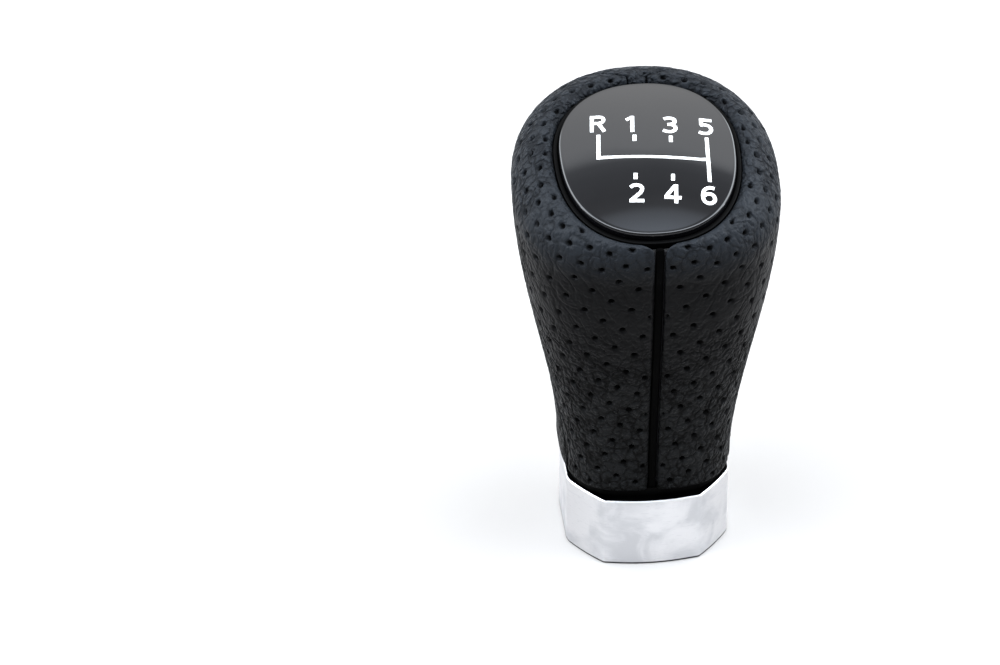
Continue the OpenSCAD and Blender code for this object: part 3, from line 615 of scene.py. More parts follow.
def printed_ink(colours):
    """Screen-printed two-part ink: dense white and half gloss, with a faint grain from the screen's mesh."""
    def looks(add, place):
        screen = add("ShaderNodeTexNoise", {"Vector": place, "Scale": 1 / (0.35 * MM)})
        tone = add("ShaderNodeMapRange", [screen, 0.3, 0.7, 0.0, 1.0])
        thin, full = linear(colours.print_thin), linear(colours.print_white)
        colour = add("ShaderNodeMix", {0: tone, 6: thin, 7: full}, **COLOURS)
        return {"Base_Color": colour, "Roughness": add("ShaderNodeMapRange", [screen, 0.3, 0.7, 0.2, 0.3])}
    return make_material("white screen-printed ink", looks, IOR=1.5)


# Leather panels

EDGE_STEPS = np.array([0, 0.04, 0.13, 0.28, 0.5, 0.75, 1.0])
BACK_STEPS = 10
HEM_ROWS = 7
ROLL_ROWS = 12
TURNED_ROWS = 4
# Ways up the skin: up to where holes are punched, where the face has ended, and over which it fades out
HOLES_END = 2.3
FACE_END = 2.7
FACE_FADE = 0.4
# Where the face starts and over what it fades in: beside a rolled edge, in rolls, and over the hem
EDGE_FADE = (0.6, 0.8)
HEM_FADE = (1.2 * MM, 0.8 * MM)
# Holes of the flat lattice to each side of its first one
LATTICE = 30
# Farthest point of the skin's grid that a hole may use as its place, and the hole's least distance to an edge
HOLE_MISS = 0.4 * MM
HOLE_MARGIN = 1.5 * MM
# Share of the hole spacing that has to be free for a new hole
HOLE_ROOM = 0.76
# How fast the hide stretches on its way up the knob, and the least and most that it does
HIDE_PULL = 16
HIDE_LIMITS = (0.6, 1.8)
# Turn of the lattice on the rear panel, and how far up its first hole lies as a share of the spacing
REAR_TURN = -math.pi / 4
REAR_RISE = 0.37


def edge_fall(share, roll):
    return roll * (1 - np.sqrt(1 - (1 - share) ** 2))


def panel_columns(body, ways, first, last, roll, gap, columns):
    """Angles of every column on every way: fine steps over both rolled edges, even steps between them."""
    first_turn = 1 / body.reach(ways, first)
    last_turn = 1 / body.reach(ways, last)
    first = first + gap * first_turn
    last = last - gap * last_turn
    middle = np.linspace(0, 1, columns)[1:-1]
    inner_first = (first + roll * first_turn)[:, None]
    inner_last = (last - roll * last_turn)[:, None]
    return np.concatenate([
        first[:, None] + EDGE_STEPS * roll * first_turn[:, None],
        inner_first * (1 - middle) + inner_last * middle,
        last[:, None] - EDGE_STEPS[::-1] * roll * last_turn[:, None],
    ], 1)


def point_tree(points):
    tree = KDTree(len(points))
    for index, point in enumerate(np.asarray(points).tolist()):
        tree.insert(point, index)
    tree.balance()
    return tree


def grid_directions(points):
    """Unit directions across and up a grid of points, and its normals."""
    along = np.gradient(points, axis=1)
    along /= np.linalg.norm(along, axis=2, keepdims=True) + 1e-12
    up = np.gradient(points, axis=0)
    normal = np.cross(along, up)
    normal /= np.linalg.norm(normal, axis=2, keepdims=True) + 1e-12
    return along, np.cross(normal, along), normal


def first_holes(points, directions, flat, stretch, allowed, pattern):
    """Holes of the square lattice on the flat hide, each with the two steps to its neighbours."""
    step, turn, shift, sign = pattern
    along, up, _ = directions
    cos, sin = math.cos(turn), math.sin(turn)
    low, high = flat.min((0, 1)) - MM, flat.max((0, 1)) + MM
    column, row = np.array([cos, sin]), np.array([-sin, cos])
    holes = []
    for i, j in np.ndindex(2 * LATTICE, 2 * LATTICE):
        goal = shift + step * ((i - LATTICE) * column + (j - LATTICE) * row)
        if (goal < low).any() or (goal > high).any():
            continue
        miss = np.sum((flat - goal) ** 2, 2)
        at = np.unravel_index(np.argmin(miss), miss.shape)
        if miss[at] > HOLE_MISS**2 or not allowed[at]:
            continue
        across, rise = sign * along[at], stretch[at] * up[at]
        holes.append((points[at], step * (cos * across + sin * rise), step * (cos * rise - sin * across)))
    return holes


def grow_holes(holes, points, normals, allowed, step):
    """Carries the lattice on over the skin: every hole gets its neighbours where there is room for them."""
    tree = point_tree(points)
    centres = [hole[0] for hole in holes]
    for centre, first, second in holes:
        for move in (first, second, -first, -second):
            goal = centre + move
            index = tree.find(goal)[1]
            normal = normals[index]
            goal = goal - normal * np.dot(goal - points[index], normal)
            room = np.linalg.norm(np.array(centres) - goal, axis=1).min()
            if not allowed[index] or room < HOLE_ROOM * step:
                continue
            turned = [way - normal * np.dot(way, normal) for way in (first, second)]
            holes.append((goal, *(way * step / np.linalg.norm(way) for way in turned)))
            centres.append(goal)
    return centres


def hole_distances(outer, ways, arc, climb, mask, inside, across, pattern):
    """Distance of every point of a panel's face from the middle of the nearest punched hole."""
    # The hide is stretched more and more on its way up to the rim
    hide = (np.sqrt(1 + HIDE_PULL * climb) - 1) * 2 / HIDE_PULL
    flat = np.stack(np.broadcast_arrays(across(arc), hide[:, None]), 2)
    rise = np.linalg.norm(np.diff(outer, axis=0, append=outer[-1:]), axis=2)
    run = np.diff(hide, append=hide[-1] + 1)[:, None]
    stretch = np.clip(rise / run, *HIDE_LIMITS)
    directions = grid_directions(outer)
    on_wall = (ways[:, None] < 1.0) & (mask > 0)
    room = (mask > 0.99) & (inside > HOLE_MARGIN) & (ways[:, None] < HOLES_END)
    holes = first_holes(outer, directions, flat, stretch, on_wall, pattern)
    points, normals = outer.reshape(-1, 3), directions[2].reshape(-1, 3)
    tree = point_tree(grow_holes(holes, points, normals, room.reshape(-1), pattern[0]))
    return np.reshape([tree.find(point)[2] for point in points.tolist()], arc.shape)


def make_panel(
    name, body, edges, face, roll, gap, columns, wall, crown, guide, material, across=None, pattern=None
):
    """One panel of the cover as a closed shell: a fine face, and a back with few columns.

    Its attribute hole_distance holds how far each point is from the middle of the nearest punched hole; its
    attribute face fades from 1 on the face to 0 at the edges and on the back."""
    leather = body.leather
    turn = np.linspace(0, QUARTER, HEM_ROWS, endpoint=False)
    start = leather.leather_t / (body.s.head_z - body.hem) / (3 * body.lower_pull)
    full = np.concatenate([
        start + np.linspace(0, 1, wall, endpoint=False) * (1 - start),
        np.linspace(1, 2, crown, endpoint=False),
        np.linspace(2, 3, ROLL_ROWS, endpoint=False),
        np.linspace(3, 4, TURNED_ROWS),
    ])
    ways = np.concatenate([(1 - np.cos(turn)) * start, full])
    insets = face + np.concatenate([leather.leather_t / 2 * (1 - np.sin(turn)), np.zeros(len(full))])
    rows = len(ways)
    first, last = edges(ways)
    angles = panel_columns(body, ways, first, last, roll, gap, columns)
    fall = np.zeros(angles.shape[1])
    fall[: len(EDGE_STEPS)] = edge_fall(EDGE_STEPS, roll)
    fall[-len(EDGE_STEPS):] = edge_fall(EDGE_STEPS[::-1], roll)
    outer = body.skin(ways[:, None], insets[:, None] + fall, angles)
    tuck = leather.leather_t + body.s.nest_gap + leather.hem_tuck
    back_inset = np.where(np.arange(rows) < HEM_ROWS, tuck, leather.leather_t)
    share = np.linspace(1, 0, BACK_STEPS)
    back_angles = angles[:, :1] * (1 - share) + angles[:, -1:] * share
    back = body.skin(ways[:, None], back_inset[:, None], back_angles)
    loop = np.concatenate([outer, back], 1)
    count = loop.shape[1]
    faces = grid_faces(rows, count)
    faces.append(tuple(range(count))[::-1])
    faces.append(tuple(range((rows - 1) * count, rows * count)))
    piece = new_piece(name, loop.reshape(-1, 3), faces, material)

    arc = np.cumsum(np.linalg.norm(np.diff(outer, axis=1, prepend=outer[:, :1]), axis=2), 1)
    line = body.skin(ways, insets, np.full(rows, guide))
    climb = np.cumsum(np.linalg.norm(np.diff(line, axis=0, prepend=line[:1]), axis=1))
    inside = np.minimum(arc, arc[:, -1:] - arc)
    # The face fades in beside the rolled edges and over the hem, and out on the roll into the recess
    mask = np.clip((inside - roll * EDGE_FADE[0]) / (roll * EDGE_FADE[1]), 0, 1)
    mask *= np.clip((climb[:, None] - HEM_FADE[0]) / HEM_FADE[1], 0, 1)
    mask *= np.clip(((FACE_END - ways) / FACE_FADE)[:, None], 0, 1)
    shown = np.zeros((rows, count))
    shown[:, : arc.shape[1]] = mask
    away = np.ones((rows, count))
    if pattern:
        away[:, : arc.shape[1]] = hole_distances(outer, ways, arc, climb, mask, inside, across, pattern)
    for key, values in (("hole_distance", away), ("face", shown)):
        layer = piece.data.attributes.new(key, "FLOAT", "POINT")
        layer.data.foreach_set("value", values.reshape(-1).astype(np.float32))
    return piece


def mirrored(piece, name):
    """A copy mirrored left to right, with its faces turned back outwards."""
    mesh = piece.data.copy()
    mesh.name = name
    mesh.transform(Matrix.Diagonal((-1, 1, 1, 1)))
    mesh.flip_normals()
    copy = bpy.data.objects.new(name, mesh)
    bpy.context.scene.collection.objects.link(copy)
    return copy


PUNCH_INPUTS = ("Hole radius", "Hole depth", "Dimple width", "Dimple depth", "Grain size", "Grain depth")


def punching_tree():
    """Geometry nodes that punch the holes and press the grain into a panel's face."""
    tree = bpy.data.node_groups.new("punch_and_press", "GeometryNodeTree")
    tree.interface.new_socket(name="Geometry", in_out="INPUT", socket_type="NodeSocketGeometry")
    for name in PUNCH_INPUTS:
        tree.interface.new_socket(name=name, in_out="INPUT", socket_type="NodeSocketFloat")
    tree.interface.new_socket(name="Material", in_out="INPUT", socket_type="NodeSocketMaterial")
    tree.interface.new_socket(name="Geometry", in_out="OUTPUT", socket_type="NodeSocketGeometry")
    add = partial(add_node, tree)
    given = add("NodeGroupInput").node.outputs
    distance = add("GeometryNodeInputNamedAttribute", {"Name": "hole_distance"}, data_type="FLOAT")
    face = add("GeometryNodeInputNamedAttribute", {"Name": "face"}, data_type="FLOAT")

    # The wall of a hole slopes between these shares of its radius
    inner = add("ShaderNodeMath", [given["Hole radius"], 0.72], operation="MULTIPLY")
    outer = add("ShaderNodeMath", [given["Hole radius"], 1.12], operation="MULTIPLY")
    hole = add("ShaderNodeMapRange", [distance, inner, outer, 1.0, 0.0], **EASED)
    brim = add("ShaderNodeMath", [given["Hole radius"], given["Dimple width"]], operation="ADD")
    dimple = add("ShaderNodeMapRange", [distance, given["Hole radius"], brim, 1.0, 0.0], **EASED)

    position = add("GeometryNodeInputPosition")
    height = leather_grain(add, position, given["Grain size"])
    pressed = add("ShaderNodeMath", [1.0, height], operation="SUBTRACT")
    depth = add("ShaderNodeMath", [hole, given["Hole depth"]], operation="MULTIPLY")
    depth = add("ShaderNodeMath", [dimple, given["Dimple depth"], depth], operation="MULTIPLY_ADD")
    depth = add("ShaderNodeMath", [pressed, given["Grain depth"], depth], operation="MULTIPLY_ADD")
    depth = add("ShaderNodeMath", [depth, face], operation="MULTIPLY")
    inwards = add("ShaderNodeMath", [depth, -1.0], operation="MULTIPLY")
    normal = add("GeometryNodeInputNormal")
    move = add("ShaderNodeVectorMath", {0: normal, "Scale": inwards}, operation="SCALE")
    shown = add("ShaderNodeMath", [hole, face], operation="MULTIPLY")
    stored = add(
        "GeometryNodeStoreNamedAttribute", {"Geometry": given["Geometry"], "Name": "hole", "Value": shown},
        data_type="FLOAT", domain="POINT",
    )
    moved = add("GeometryNodeSetPosition", {"Geometry": stored, "Offset": move})
    real = add("GeometryNodeRealizeInstances", {"Geometry": moved})
    done = add("GeometryNodeSetMaterial", {"Geometry": real, "Material": given["Material"]})
    add("NodeGroupOutput", [done])
    return tree


def apply_tree(piece, tree, values):
    """Runs a geometry tree on a piece and keeps the result as its plain mesh."""
    modifier = piece.modifiers.new(tree.name, "NODES")
    modifier.node_group = tree
    for item in tree.interface.items_tree:
        if item.item_type == "SOCKET" and item.in_out == "INPUT" and item.name in values:
            modifier[item.identifier] = values[item.name]
    bake_modifiers(piece)


class KNOB_OT_leather(bpy.types.Operator):
    """Makes the three perforated leather panels"""

    bl_idname = "knob.leather"
    bl_label = "Leather panels"

    def execute(self, context):
        scene = context.scene
        leather = scene.knob_leather
        body = Body(scene)
        material = perforated_leather(scene.knob_finish, leather)
        tree = punching_tree()
        values = {
            "Hole radius": leather.hole_d / 2,
            "Hole depth": leather.hole_depth,
            "Dimple width": leather.dimple_w,
            "Dimple depth": leather.dimple_depth,
            "Grain size": leather.grain_size,
            "Grain depth": leather.grain_depth,
            "Material": material,
        }
        half_groove = leather.groove_w / 2
        step = leather.hole_step
        left = make_panel(
            "leather_front_left_hide", body,
            lambda ways: (
                math.pi - body.seam_angle(ways), FRONT - body.groove_angle(ways, leather.groove_open)
            ),
            0, leather.edge_roll, leather.seam_gap / 2, columns=196, wall=262, crown=56, guide=FRONT,
            material=material, across=lambda arc: arc[:, -1:] - arc + half_groove,
            pattern=(step, leather.hole_turn, np.array([leather.hole_across, leather.hole_up]), -1),
        )
        right = mirrored(left, "leather_front_right_hide")
        rear = make_panel(
            "leather_rear_hide", body,
            lambda ways: (body.seam_angle(ways), math.pi - body.seam_angle(ways)),
            0, leather.edge_roll, leather.seam_gap / 2, columns=200, wall=262, crown=56, guide=QUARTER,
            material=material, across=lambda arc: arc - arc[:, -1:] / 2,
            pattern=(step, REAR_TURN, np.array([0.0, step * REAR_RISE]), 1),
        )
        for panel in (left, right, rear):
            apply_tree(panel, tree, values)
        finish_piece(left, "leather", "leather_front_left")
        finish_piece(right, "leather", "leather_front_right")
        finish_piece(rear, "leather", "leather_rear")
        return {"FINISHED"}


class KNOB_OT_piping(bpy.types.Operator):
    """Makes the piping strip in the front groove"""

    bl_idname = "knob.piping"
    bl_label = "Front piping"

    def execute(self, context):
        scene = context.scene
        leather = scene.knob_leather
        body = Body(scene)
        gap = scene.knob_shape.nest_gap
        roll = leather.leather_t - leather.strip_sink - gap
        strip = make_panel(
            "front_strip_piping", body,
            lambda ways: (FRONT - body.groove_angle(ways), FRONT + body.groove_angle(ways)),
            leather.strip_sink, roll, gap, columns=6, wall=90, crown=24, guide=FRONT,
            material=piping_leather(scene.knob_finish),
        )
        finish_piece(strip, "piping", "front_strip")
        return {"FINISHED"}


# Badge

BADGE_STEPS = 192


def badge_ring(body, offset, rise):
    x, y = oval(body.grown(offset), 0, np.arange(BADGE_STEPS) * 2 * math.pi / BADGE_STEPS)
    return body.tilted(x, y, rise)


def cap_heights(shape):
    """Heights of the cap's edge, the bezel's face and the shelf over the widest line."""
    top = shape.crown_h + shape.cap_lift
    bezel_top = top - shape.cap_stand
    return top, bezel_top, bezel_top - shape.cap_seat


def on_dome(body, x, y, lift):
    """Points on the cap's dome over points of the badge's plane."""
    middle = (body.s.cap_back - body.s.cap_front) / 2
    size = body.grown(-body.s.cap_round)
    # The share of the way from the cap's middle to its rounded edge, found by halving
    low = np.full_like(x, 1e-6)
    high = np.full_like(x, 1.5)
    for _ in range(30):
        share = (low + high) / 2
        over, up = x / share, (y - middle) / share + middle
        reach = np.where(up < 0, size[1], size[2])
        power = np.where(up < 0, size[3], size[4])
        outside = (np.abs(over) / size[0]) ** power + (np.abs(up) / reach) ** power > 1
        low = np.where(outside, share, low)
        high = np.where(outside, high, share)
    return body.tilted(x, y, cap_heights(body.s)[0] + body.s.cap_dome * (1 - high**2) + lift)


def rounded_edge(offset, rise, radius, turns):
    """Profile points round an edge; offset and rise are those of the arc's middle."""
    return [(offset + radius * math.cos(t), rise + radius * math.sin(t)) for t in np.radians(turns)]


class KNOB_OT_badge(bpy.types.Operator):
    """Makes the domed cap and its bezel"""

    bl_idname = "knob.badge"
    bl_label = "Badge cap and bezel"

    def execute(self, context):
        scene = context.scene
        body = Body(scene)
        self.cap(body, cap_gloss(scene.knob_finish))
        satin = moulded_plastic("half-gloss black ABS", scene.knob_finish.bezel, 0.4, 0.5, 0.3, 0.01, 0.04)
        self.bezel(body, satin)
        return {"FINISHED"}

    def cap(self, body, material):
        shape = body.s
        top, _, shelf_top = cap_heights(shape)
        roundness = shape.cap_round
        profile = [(0, shelf_top)]
        profile += rounded_edge(-roundness, top - roundness, roundness, (0, 12, 25, 40, 55, 70, 82))
        rings = [badge_ring(body, offset, rise) for offset, rise in profile]
        middle = (shape.cap_back - shape.cap_front) / 2
        x, y = oval(body.grown(-roundness), 0, np.arange(BADGE_STEPS) * 2 * math.pi / BADGE_STEPS)
        for share in np.concatenate([[1], np.linspace(0.98, 0.03, 26)]):
            rise = top + shape.cap_dome * (1 - share**2)
            rings.append(body.tilted(x * share, middle + (y - middle) * share, rise))
        faces = grid_faces(len(rings), BADGE_STEPS)
        faces.append(tuple(range(BADGE_STEPS))[::-1])
        last = (len(rings) - 1) * BADGE_STEPS
        faces += [(last + i, last + (i + 1) % BADGE_STEPS, last + BADGE_STEPS) for i in range(BADGE_STEPS)]
        points = np.concatenate(rings + [body.tilted(0.0, middle, top + shape.cap_dome)[None, :]])
        cap = new_piece("badge_cap_dome", points, faces, material)
        smooth_by_angle(cap, 50)
        finish_piece(cap, "cap_plastic", "badge_cap")

    def bezel(self, body, material):
        shape = body.s
        _, bezel_top, shelf_top = cap_heights(shape)
        floor_top = shelf_top - shape.shelf_t
        edge = shape.bezel_round
        profile = [(shape.bezel_w, floor_top)]
        profile += rounded_edge(shape.bezel_w - edge, bezel_top - edge, edge, (0, 30, 60, 90))
        profile += rounded_edge(shape.nest_gap + edge, bezel_top - edge, edge, (90, 120, 150, 180))
        profile += [(shape.nest_gap, shelf_top), (-shape.shelf_w, shelf_top), (-shape.shelf_w, floor_top)]
        points = np.concatenate([badge_ring(body, offset, rise) for offset, rise in profile])
        faces = grid_faces(len(profile), BADGE_STEPS, closed_rows=True)
        bezel = new_piece("badge_bezel_ring", points, faces, material)
        smooth_by_angle(bezel, 40)
        self.add_hooks(bezel, shape, floor_top)
        finish_piece(bezel, "bezel_plastic", "badge_bezel")

    def add_hooks(self, bezel, shape, floor_top):
        """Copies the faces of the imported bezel's snap hooks, which hang below its ring."""
        source = bmesh.new()
        source.from_mesh(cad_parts["badge_bezel"].data)
        bmesh.ops.remove_doubles(source, verts=source.verts, dist=1e-6)
        up = Vector((0, -math.sin(shape.head_tilt), math.cos(shape.head_tilt)))
        foot = Vector((0, shape.head_shift, shape.head_z)) + floor_top * up
        above = [v for v in source.verts if (v.co - foot).dot(up) > 1e-6]
        bmesh.ops.delete(source, geom=above, context="VERTS")
        level = [f for f in source.faces if min((v.co - foot).dot(up) for v in f.verts) > -1e-5]
        bmesh.ops.delete(source, geom=level, context="FACES")
        hooks = bpy.data.meshes.new("hooks")
        source.to_mesh(hooks)
        source.free()
        joined = bmesh.new()
        joined.from_mesh(bezel.data)
        joined.from_mesh(hooks)
        joined.to_mesh(bezel.data)
        joined.free()
        bpy.data.meshes.remove(hooks)


# Printed shift pattern, in millimetres on the badge's plane

PRINT_TURN = math.radians(-5.5)
PEN = 0.71
NEUTRAL_PEN = 0.6
INK_LIFT = 0.03
INK_STEP = 0.0005
# Strokes of each sign about its middle; the first word says whether the stroke curves or keeps its corners
STROKES = {
    "R": (
        ("straight", (-1.15, -2.1), (-1.15, 2.1)),
        ("curved", (-1.15, 1.74), (0.2, 1.74), (0.85, 1.5), (1.05, 0.95), (0.85, 0.38), (0.2, 0.12),
         (-1.15, 0.12)),
        ("straight", (0.05, 0.12), (1.25, -2.1)),
    ),
    "1": (
        ("straight", (0.25, -2.1), (0.25, 2.1)),
        ("straight", (-0.95, 1.05), (0.25, 1.8)),
    ),
    "2": (
        ("curved", (-1.15, 1.25), (-0.6, 1.66), (0.1, 1.76), (0.8, 1.5), (1.08, 0.9), (0.8, 0.15),
         (0.1, -0.6), (-0.7, -1.35), (-1.05, -1.74)),
        ("straight", (-1.35, -1.74), (1.45, -1.74)),
    ),
    "3": (
        ("curved", (-1.1, 1.45), (-0.5, 1.72), (0.2, 1.76), (0.85, 1.5), (1.0, 0.95), (0.75, 0.4),
         (0.1, 0.12), (-0.4, 0.1)),
        ("curved", (-0.4, 0.1), (0.4, 0.05), (1.0, -0.35), (1.15, -0.9), (0.85, -1.5), (0.1, -1.78),
         (-0.6, -1.74), (-1.25, -1.45)),
    ),
    "4": (
        ("straight", (0.62, -2.1), (0.62, 2.1)),
        ("straight", (0.45, 1.85), (-1.35, -0.75)),
        ("straight", (-1.6, -0.85), (1.6, -0.85)),
    ),
    "5": (
        ("straight", (-0.95, 1.74), (1.25, 1.74)),
        ("straight", (-0.75, 2.1), (-0.75, 0.3)),
        ("curved", (-0.95, 0.3), (-0.1, 0.48), (0.65, 0.3), (1.12, -0.25), (1.1, -0.95), (0.65, -1.55),
         (-0.1, -1.76), (-0.75, -1.7), (-1.2, -1.5)),
    ),
    "6": (
        ("curved", (1.05, 1.6), (0.4, 1.76), (-0.35, 1.55), (-0.9, 0.95), (-1.12, 0.1), (-1.12, -0.6),
         (-0.85, -1.4), (-0.2, -1.78), (0.5, -1.7), (1.05, -1.2), (1.12, -0.55), (0.85, 0.05), (0.25, 0.32),
         (-0.4, 0.2), (-1.0, -0.3)),
    ),
}
SIGNS = (
    ("R", -8.9, 6.1), ("1", -2.65, 5.2), ("3", 4.67, 4.45), ("5", 11.48, 4.0),
    ("2", -3.33, -11.5), ("4", 3.52, -12.15), ("6", 10.35, -12.56),
)
# Marks that lead from the signs to the neutral gate, which is the last one
MARKS = (
    ((-2.3, 2.3), (-2.45, 0.75)),
    ((4.6, 1.6), (4.45, 0.05)),
    ((-9.1, 3.2), (-9.65, -2.45), (-7.85, -2.6)),
    ((11.45, 1.2), (10.85, -9.5)),
    ((11.1, -4.15), (9.85, -4.25)),
    ((-3.05, -7.0), (-3.2, -8.4)),
    ((4.0, -7.7), (3.85, -9.2)),
    ((-7.85, -2.6), (9.85, -4.25)),
)


def curved_path(corners, steps=8):
    """Points of a smooth line through the corners."""
    p = np.array(corners, float)
    p = np.concatenate([[2 * p[0] - p[1]], p, [2 * p[-1] - p[-2]]])
    t = np.arange(steps)[:, None] / steps
    parts = [
        0.5 * (2 * b + (c - a) * t + (2 * a - 5 * b + 4 * c - d) * t**2 + (3 * b - a - 3 * c + d) * t**3)
        for a, b, c, d in zip(p, p[1:], p[2:], p[3:])
    ]
    return np.concatenate(parts + [p[-2:-1]])


def straight_path(corners, spacing=0.4):
    """Points of a line that keeps its corners."""
    parts = [np.array(corners[:1], float)]
    for a, b in zip(np.array(corners, float), np.array(corners[1:], float)):
        steps = max(1, round(float(np.linalg.norm(b - a)) / spacing))
        parts.append(a + (b - a) * (np.arange(1, steps + 1)[:, None] / steps))
    return np.concatenate(parts)


def pen_line(path, width):
    """Left and right edges of a line of a width along a path, mitred where it turns."""
    run = np.diff(path, axis=0)
    run /= np.linalg.norm(run, axis=1)[:, None]
    before = np.concatenate([run[:1], run])
    after = np.concatenate([run, run[-1:]])
    out = np.stack([-before[:, 1] - after[:, 1], before[:, 0] + after[:, 0]], 1)
    out /= (1 + np.sum(before * after, 1))[:, None]
    return path + out * width / 2, path - out * width / 2


class KNOB_OT_print(bpy.types.Operator):
    """Prints the shift pattern on the cap"""

    bl_idname = "knob.shift_print"
    bl_label = "Shift pattern"

    def execute(self, context):
        scene = context.scene
        body = Body(scene)
        cos, sin = math.cos(PRINT_TURN), math.sin(PRINT_TURN)
        rotate = np.array([[cos, sin], [-sin, cos]])
        lines = []
        for sign, x, y in SIGNS:
            for kind, *corners in STROKES[sign]:
                path = curved_path(corners) if kind == "curved" else straight_path(corners)
                lines.append((path @ rotate + (x, y), PEN))
        lines += [(straight_path(mark), PEN) for mark in MARKS[:-1]]
        lines.append((straight_path(MARKS[-1]), NEUTRAL_PEN))
        points, faces = [], []
        for layer, (path, width) in enumerate(lines):
            left, right = pen_line(path, width)
            start = sum(len(part) for part in points)
            count = len(path)
            flat = np.concatenate([left, right]) * MM
            # Each stroke lies a hair above the one before it, so that crossing strokes don't share a plane
            points.append(on_dome(body, flat[:, 0], flat[:, 1], (INK_LIFT + INK_STEP * layer) * MM))
            for i in range(start, start + count - 1):
                faces.append((i, i + count, i + count + 1, i + 1))
        material = printed_ink(scene.knob_finish)
        ink = new_piece("shift_pattern_print", np.concatenate(points), faces, material)
        finish_piece(ink, "cap_plastic")
        return {"FINISHED"}


# Collar

def toward(start, end):
    return (end - start) / np.linalg.norm(end - start)


def curve(before, point, after, cut, steps):
    """A corner between two edges as a short curve that starts and ends a cut away from it."""
    t = np.linspace(0, 1, steps + 1)[:, None]
    return point + toward(point, before) * cut * (1 - t) ** 2 + toward(point, after) * cut * t**2


def corner(before, point, after, radius):
    half = math.acos(float(toward(point, before) @ toward(point, after))) / 2
    return curve(before, point, after, radius / math.tan(half), 10)


BOW_SHARE = 0.7
# Bevel along the inside edges, and the width of a flat band round the ceiling
CRISP = 0.25 * MM
CEILING_EDGE = 1.2 * MM


def crest(start, end, bow):
    """Point outside an edge's middle, about which a curve bows the edge."""
    run = toward(start, end)
    return (start + end) / 2 + np.array([run[1], -run[0]]) * bow / (1 - BOW_SHARE / 2)


def bowed(start, end, bow):
    top = crest(start, end, bow)
    return curve(start, top, end, BOW_SHARE * np.linalg.norm(top - start), 14)


def outline_inset(points, distance):
    run = np.roll(points, -1, 0) - points
    run /= np.linalg.norm(run, axis=1)[:, None]
    after = np.stack([-run[:, 1], run[:, 0]], 1)
    before = np.roll(after, 1, 0)
    return points + distance * (before + after) / (1 + np.sum(before * after, 1))[:, None]


class KNOB_OT_collar(bpy.types.Operator):
    """Makes the satin collar"""

    bl_idname = "knob.collar"
    bl_label = "Collar"

    def execute(self, context):
        scene = context.scene
        shape = scene.knob_collar
        half = scene.knob_shape.neck_w / 2 - shape.step
        ends = half - shape.draw
        front = scene.knob_shape.neck_front + shape.proud
        front_left, front_right = np.array([-shape.flat / 2, -front]), np.array([shape.flat / 2, -front])
        side_left, side_right = np.array([-ends, -shape.side]), np.array([ends, -shape.side])
        front_top = crest(front_left, front_right, shape.bow)
        right_top = crest(front_right, side_right, shape.chamfer_bow)
        left_top = crest(side_left, front_left, shape.chamfer_bow)
        turn = np.radians(np.linspace(0, 180, 73))
        outline = np.concatenate([
            bowed(front_left, front_right, shape.bow),
            corner(front_top, front_right, right_top, shape.corner),
            bowed(front_right, side_right, shape.chamfer_bow),
            corner(right_top, side_right, np.array([half, 0]), shape.side_corner),
            np.stack([half * np.cos(turn), half * np.sin(turn)], 1),
            corner(np.array([-half, 0]), side_left, left_top, shape.side_corner),
            bowed(side_left, front_left, shape.chamfer_bow),
            corner(left_top, front_left, front_top, shape.corner),
        ])
        angle = np.arctan2(outline[:, 1], outline[:, 0])
        round_hole = shape.hole * np.stack([np.cos(angle), np.sin(angle)], 1)
        low, high, wall, bevel = shape.height - shape.plate, shape.height, shape.wall, shape.bevel
        # Rings from the ceiling's hole down the inside wall, round the rim, up the outside and over the top
        rings = [
            (None, low), (wall + CEILING_EDGE, low), (wall + CRISP, low), (wall, low - CRISP),
            (wall, CRISP), (wall - CRISP, 0), (bevel, 0), (0, bevel),
            (0, high - bevel), (bevel, high), (None, high),
        ]
        points = []
        for inset, z in rings:
            flat = round_hole if inset is None else outline_inset(outline, inset)
            points.append(np.column_stack([flat, np.full(len(flat), z)]))
        faces = grid_faces(len(rings), len(outline), closed_rows=True)
        material = satin_aluminium(scene.knob_finish, shape.height)
        collar = new_piece("collar_casting", np.concatenate(points), faces, material)
        self.drill(collar, shape, material)
        smooth_by_angle(collar, 28)
        finish_piece(collar, "collar_metal", "collar")
        return {"FINISHED"}

    def drill(self, collar, shape, material):
        """Cuts the three screws' recesses and holes."""
        turn = np.arange(48) * 2 * math.pi / 48
        profile = (
            (shape.recess, shape.height - shape.plate - MM), (shape.recess, shape.seat),
            (shape.pass_hole, shape.seat), (shape.pass_hole, shape.height + MM),
        )
        rings = [
            np.column_stack([radius * np.cos(turn), radius * np.sin(turn), np.full(len(turn), z)])
            for radius, z in profile
        ]
        shell = grid_faces(len(rings), len(turn))
        shell += [tuple(range(len(turn)))[::-1], tuple(range(3 * len(turn), 4 * len(turn)))]
        side, ahead = shape.screw_side, -shape.screw_front
        points, faces = [], []
        for x, y in ((-side, ahead), (side, ahead), (0, shape.screw_back)):
            start = sum(len(part) for part in points)
            points.append(np.concatenate(rings) + (x, y, 0))
            faces += [tuple(start + i for i in face) for face in shell]
        cutter = new_piece("screw_cutter", np.concatenate(points), faces, material)
        cut = collar.modifiers.new("drill", "BOOLEAN")
        cut.operation = "DIFFERENCE"
        cut.solver = "EXACT"
        cut.object = cutter
        bake_modifiers(collar)
        mesh = cutter.data
        bpy.data.objects.remove(cutter)
        bpy.data.meshes.remove(mesh)


